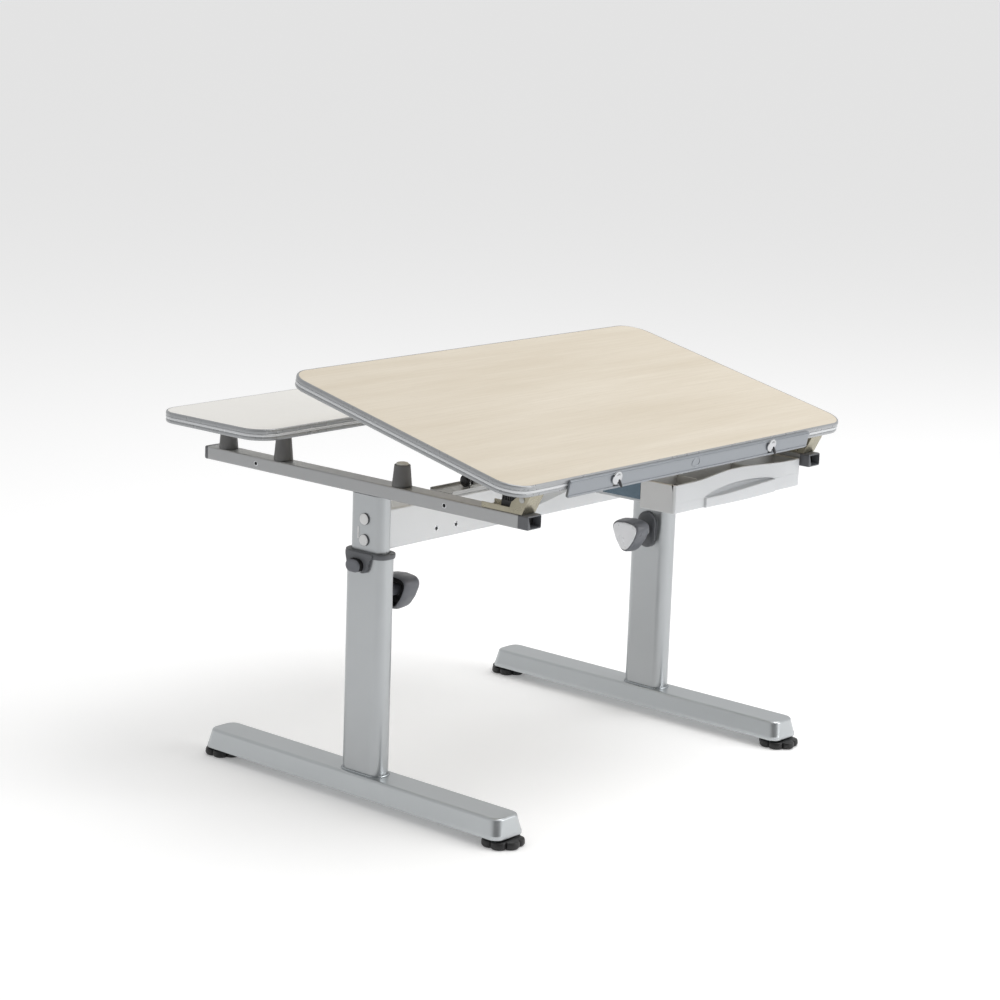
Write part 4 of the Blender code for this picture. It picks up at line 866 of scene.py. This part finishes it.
def thumbscrew(label):
    box = Box("thumbscrew_" + label, TILTED)
    centre = (box.mid.x, board_top() - SHANK_DEPTH)
    strip = Box("paper_ledge", TILTED)
    back = strip.lo.y - 0.3
    profile = [(2.9, box.hi.y), (2.9, back + 0.1), (9.0, back), (10.0, back - 0.9), (10.0, back - 2.2),
               (9.4, back - 2.9), (7.8, back - 3.3), (6.6, back - 3.5), (5.4, back - 4.4), (3.0, back - 4.8)]
    build("thumbscrew_body_" + label, [turned(profile, centre, "Y", 56)], CHROME, "thumbscrew_" + label,
          "thumbscrew_" + label, TILTED)
    # The wing is drawn dark as painted shade: a dark fin to the lower right of the head.
    lean = math.radians(38.0)
    wing = []
    for inset, along in ((0.8, 3.0), (0.1, 6.0), (0.0, 10.0), (0.2, 14.0), (0.8, 17.0), (1.5, 18.3)):
        middle = (centre[0] + along * math.sin(lean), centre[1] - along * math.cos(lean))
        half, deep = 1.9 - 0.5 * inset, 2.4 - 0.6 * inset
        wing.append([(middle[0] + half * math.cos(lean) * u, back - 4.0 + deep * v,
                      middle[1] + half * math.sin(lean) * u)
                     for u, v in rounded_rect(2.0, 2.0, 0.8, steps=5)])
    build("thumbscrew_wing_" + label, [loft(wing)], DARK_STEEL_AND_SHADE, "thumbscrew_" + label, (), TILTED)


# ---------------------------------------------------------------- drawer

HEAD_DEPTH = 64.0               # of the wide front part, before the body narrows between the slides


def drawer():
    box = Box("drawer_tray")
    left, right = box.lo.x, box.hi.x
    face = box.lo.y
    floor, rim = box.lo.z, box.hi.z
    recess_left, recess_right = 73.0, 250.0

    def bump(x, start, end, power):
        """Smooth hill between two places."""
        if x <= start or x >= end:
            return 0.0
        return math.sin(math.pi * (x - start) / (end - start)) ** (2 * power)

    def ease(t):
        t = max(0.0, min(1.0, t))
        return t * t * (3 - 2 * t)

    def top_edge(x):
        rise = ease((x - 45.0) / 95.0) * ease((300.0 - x) / 150.0)
        return rim + 7.0 * rise

    def chord(x):
        return floor + 15.0 + 5.5 * ease((x - recess_left) / (recess_right - recess_left))

    def arch(x):
        along = (x - recess_left) / (recess_right - recess_left)
        if along <= 0.0 or along >= 1.0:
            return chord(x)
        return chord(x) + 11.0 * math.sin(math.pi * along ** 0.8) ** 0.75

    def bow(x):
        """How far the lower panel stands out of the face."""
        if x <= recess_left or x >= recess_right:
            return 0.0
        return 2.6 + 4.4 * bump(x, recess_left - 20.0, recess_right + 20.0, 0.6)

    def hollow(x):
        return 10.5 * max(0.0, bump(x, recess_left, recess_right, 0.25))

    def profile(x):
        out, deep = bow(x), hollow(x)
        lip = 1.0 if recess_left < x < recess_right else 0.0
        low, high, crown = chord(x), arch(x), top_edge(x)
        back = face + (14.0 if left + 2.7 < x < right - 2.7 else 3.9)
        points = [(back, floor), (face - out + 3.0, floor), (face - out + 1.0, floor + 0.5),
                  (face - out + 0.2, floor + 1.6), (face - out, floor + 3.5), (face - out, low - 3.0),
                  (face - out + 0.15 * lip, low - 1.0), (face - out + 0.8 * lip, low - 0.2),
                  (face - out + 1.8 * lip, low)]
        span = high - low
        for share, depth in ((0.0, 0.75), (0.2, 0.95), (0.45, 1.0), (0.7, 0.9), (0.88, 0.66), (0.97, 0.36)):
            points.append((face + deep * depth, low + span * share))
        points += [(face + 0.25, high + 0.1), (face, high + 0.8), (face, (high + crown) / 2),
                   (face, crown - 1.4), (face + 0.35, crown - 0.5), (face + 1.2, crown),
                   (face + 3.0, crown), (face + 3.9, crown - 0.5), (face + 4.2, crown - 1.6),
                   (min(face + 4.4, back + 0.4), rim - 10.0), (back, rim - 13.0)]
        return points

    stations = [left, left + 0.4, left + 1.6, left + 2.69, left + 2.71, left + 4.0]
    x = left + 8.0
    while x < right - 6.0:
        stations.append(x)
        x += 3.0
    stations += [right - 4.0, right - 2.71, right - 2.69, right - 1.6, right - 0.4, right]
    for edge in (recess_left, recess_right):
        stations += [edge - 0.01, edge + 0.01, edge + 1.2, edge - 1.2]
    stations = sorted(stations)

    def corner(x):
        """The face turns back into the sides."""
        gap = min(x - left, right - x)
        return 0.0 if gap >= 4.0 else 4.0 - math.sqrt(max(0.0, 16.0 - (4.0 - gap) ** 2))

    loops = []
    for x in stations:
        back = corner(x)
        loops.append([(x, y + back if y < face + 3.5 else y, z) for y, z in profile(x)])
    build("drawer_front", [loft(loops)], TRAY, "drawer", "drawer_tray")

    head_rear = face + HEAD_DEPTH
    wall = 2.6
    walls = [block((left + 0.06, face + 3.8, floor + 0.05), (left + wall, head_rear, rim)),
             block((right - wall, face + 3.8, floor + 0.05), (right - 0.06, head_rear, rim)),
             block((left + 0.2, face + 12.0, floor + 0.05), (right - 0.2, head_rear, floor + 2.5)),
             block((left + 0.1, head_rear - 14.0, floor + 0.02), (right - 0.1, head_rear, rim - 0.1))]
    build("drawer_head_walls", walls, TRAY, "drawer", (), bevel=0.7)
    ribs = []
    for x in (70.0, 208.0):
        ribs.append(block((x - 1.2, face + 14.4, floor + 1.0), (x + 1.2, head_rear - 1.5, rim - 0.6)))
    steps = block((left + 1.5, face + 4.2, rim - 13.2), (right - 1.5, face + 14.2, rim - 12.2))
    build("drawer_dividers", ribs + [steps], TRAY, "drawer", (), bevel=0.5)
    inner = Box("slide_inner_left")
    low_x, high_x = inner.hi.x + 0.4, Box("slide_inner_right").lo.x - 0.4
    rear = box.hi.y
    body = [block((low_x, head_rear - 1.0, floor + 4.0), (low_x + 2.5, rear, rim - 3.0)),
            block((high_x - 2.5, head_rear - 1.0, floor + 4.0), (high_x, rear, rim - 3.0)),
            block((low_x + 0.1, rear - 2.5, floor + 4.02), (high_x - 0.1, rear - 0.05, rim - 3.05)),
            block((low_x + 0.15, head_rear - 0.9, floor + 4.05), (high_x - 0.15, rear - 0.1, floor + 6.5))]
    build("drawer_body", body, TRAY, "drawer", (), bevel=0.6)
    rims = []
    for start, end in ((left, left + wall + 1.6), (right - wall - 1.6, right)):
        rims.append(block((start, face + 4.0, rim - 1.8), (end, head_rear, rim + 0.3)))
    build("drawer_side_rims", rims, TRAY_INSIDE, "drawer", (), bevel=0.7)


def slides():
    for label, side in SIDES:
        refined("slide_bracket_" + label, PALE_PAINT, "upper_frame", 0.35)
        refined("slide_outer_" + label, SLIDE, "upper_frame", 0.3)
        refined("slide_middle_" + label, SLIDE, "slide_middles", 0.3)
        refined("slide_inner_" + label, SLIDE, "drawer", 0.3)
        middle = Box("slide_middle_" + label)
        inner = Box("slide_inner_" + label)
        cage, balls = [], []
        for level in (-1, 1):
            z = middle.mid.z + level * (inner.size.z / 2 + 0.45)
            cage.append(block((middle.mid.x - 2.6, middle.lo.y + 1.0, z - 0.4),
                              (middle.mid.x + 2.6, middle.lo.y + 46.0, z + 0.4)))
            for i in range(7):
                balls.append(ball((middle.mid.x, middle.lo.y + 4.0 + i * 6.2, z), 1.15, 6, 10))
        build("ball_cage_" + label, cage, BLACK_AND_SHADE, "slide_middles", ())
        build("slide_balls_" + label, balls, STEEL, "slide_middles", ())
        outer = Box("slide_outer_" + label)
        # Thin black discs on the slide's web stand for its two holes: painted shade.
        web = outer.mid.x + (-side) * outer.size.x / 2
        build("slide_hole_shades_" + label,
              [prism(circle(2.3, (outer.lo.y + offset, outer.mid.z - 2.0), 20), "X", web - 0.06, web + 0.06)
               for offset in (24.0, 92.0)], BLACK_AND_SHADE, "upper_frame", ())
        stop = []
        for level in (-1, 0, 1):
            z = outer.mid.z + level * 7.4
            stop.append(block((outer.mid.x - 4.2, outer.lo.y - 1.8, z - 3.0),
                              (outer.mid.x + 4.2, outer.lo.y - 0.1, z + 3.0)))
        build("slide_stops_" + label, stop, BLACK_AND_SHADE, "slide_middles", (), bevel=0.5)


def frame_parts():
    for label, side in SIDES:
        for row in ("lower", "upper"):
            bolt_cap(label, side, row)
        rail(label, side)
        plug("front_plug_" + label, label, True, "rail_plug_" + label)
        plug("rear_plug_" + label, label, False, ())
        spacer("shelf_spacer_front_" + label)
        spacer("shelf_spacer_rear_" + label)
        spacer("rest_bumper_" + label, 3.5)
    crossbeam()
    hinges()
    tilt_support()
    board("shelf_panel", "rear_shelf", WHITE, "upper_frame", STRAIGHT)
    edge_band("shelf_edge", "shelf_edge_band", "upper_frame", STRAIGHT)
    board("drawing_panel", "tilting_top", MAPLE, "tilt_top", TILTED)
    edge_band("drawing_edge", "top_edge_band", "tilt_top", TILTED)
    ledge()
    for label, side in SIDES:
        thumbscrew(label)
    drawer()
    slides()


# ---------------------------------------------------------------- floor, light and camera

FLOOR_REACH = 90000


def stage():
    corners = rectangle(-FLOOR_REACH, FLOOR_REACH, -FLOOR_REACH, FLOOR_REACH)
    mesh = to_mesh("floor", [(on_axis(corners, "Z", 0), [(0, 1, 2, 3)])])
    floor = bpy.data.objects.new("floor", mesh)
    bpy.context.collection.objects.link(floor)
    paint = bpy.data.materials.new("floor_paint")
    paint.use_nodes = True
    shader = paint.node_tree.nodes["Principled BSDF"]
    shader.inputs["Base Color"].default_value = (0.93, 0.93, 0.93, 1.0)
    shader.inputs["Roughness"].default_value = 0.9
    shader.inputs["Specular IOR Level"].default_value = 0.0
    shader.inputs["Emission Color"].default_value = (1.0, 1.0, 1.0, 1.0)
    shader.inputs["Emission Strength"].default_value = 0.20
    mesh.materials.append(paint)
    studio_world()
    softbox("key", (0.9, -1.0, 3.6), (0.0, 0.0, 0.4), (2.8, 2.4), 62.0)
    softbox("front", (2.2, -4.2, 1.9), (0.1, 0.0, 0.3), (2.6, 2.2), 60.0)


def studio_world():
    """Even pale surroundings with a dim part behind the viewer, so polished metal has something to mirror."""
    world = bpy.data.worlds.new("studio")
    world.use_nodes = True
    nodes, links = world.node_tree.nodes, world.node_tree.links
    place = nodes.new("ShaderNodeTexCoord")
    facing = nodes.new("ShaderNodeVectorMath")
    facing.operation = "DOT_PRODUCT"
    facing.inputs[1].default_value = (-0.70, -0.71, 0.05)
    links.new(place.outputs["Generated"], facing.inputs[0])
    fall = nodes.new("ShaderNodeMapRange")
    fall.interpolation_type = "SMOOTHSTEP"
    fall.inputs["From Min"].default_value = 0.55
    fall.inputs["From Max"].default_value = 0.97
    fall.inputs["To Min"].default_value = 0.66
    fall.inputs["To Max"].default_value = 0.08
    links.new(facing.outputs["Value"], fall.inputs["Value"])
    links.new(fall.outputs["Result"], nodes["Background"].inputs["Strength"])
    nodes["Background"].inputs["Color"].default_value = (1.0, 1.0, 1.0, 1.0)
    bpy.context.scene.world = world


def softbox(name, place, target, size, energy):
    lamp = bpy.data.lights.new(name, "AREA")
    lamp.shape = "RECTANGLE"
    lamp.size, lamp.size_y = size
    lamp.energy = energy
    made = bpy.data.objects.new(name, lamp)
    made.location = place
    made.rotation_euler = (Vector(target) - Vector(place)).to_track_quat("-Z", "Y").to_euler()
    bpy.context.collection.objects.link(made)


def camera():
    """Long lens from the front left, a little above the top."""
    yaw, pitch, roll = 0.8617, 0.2135, -0.0349
    ahead = Vector((math.sin(yaw) * math.cos(pitch), math.cos(yaw) * math.cos(pitch), -math.sin(pitch)))
    across = Vector((math.cos(yaw), -math.sin(yaw), 0.0))
    down = ahead.cross(across)
    right = math.cos(roll) * across + math.sin(roll) * down
    below = -math.sin(roll) * across + math.cos(roll) * down
    data = bpy.data.cameras.new("camera")
    data.sensor_width = 36.0
    data.lens = 92.4
    data.clip_end = 400.0
    made = bpy.data.objects.new("camera", data)
    turn = Matrix((right, -below, -ahead)).transposed().to_4x4()
    made.matrix_world = Matrix.Translation(Vector((-2.9487, -2.5124, 1.2376))) @ turn
    bpy.context.collection.objects.link(made)
    bpy.context.scene.camera = made


base_parts()
frame_parts()
stage()
camera()
bpy.context.scene.view_settings.view_transform = "Standard"
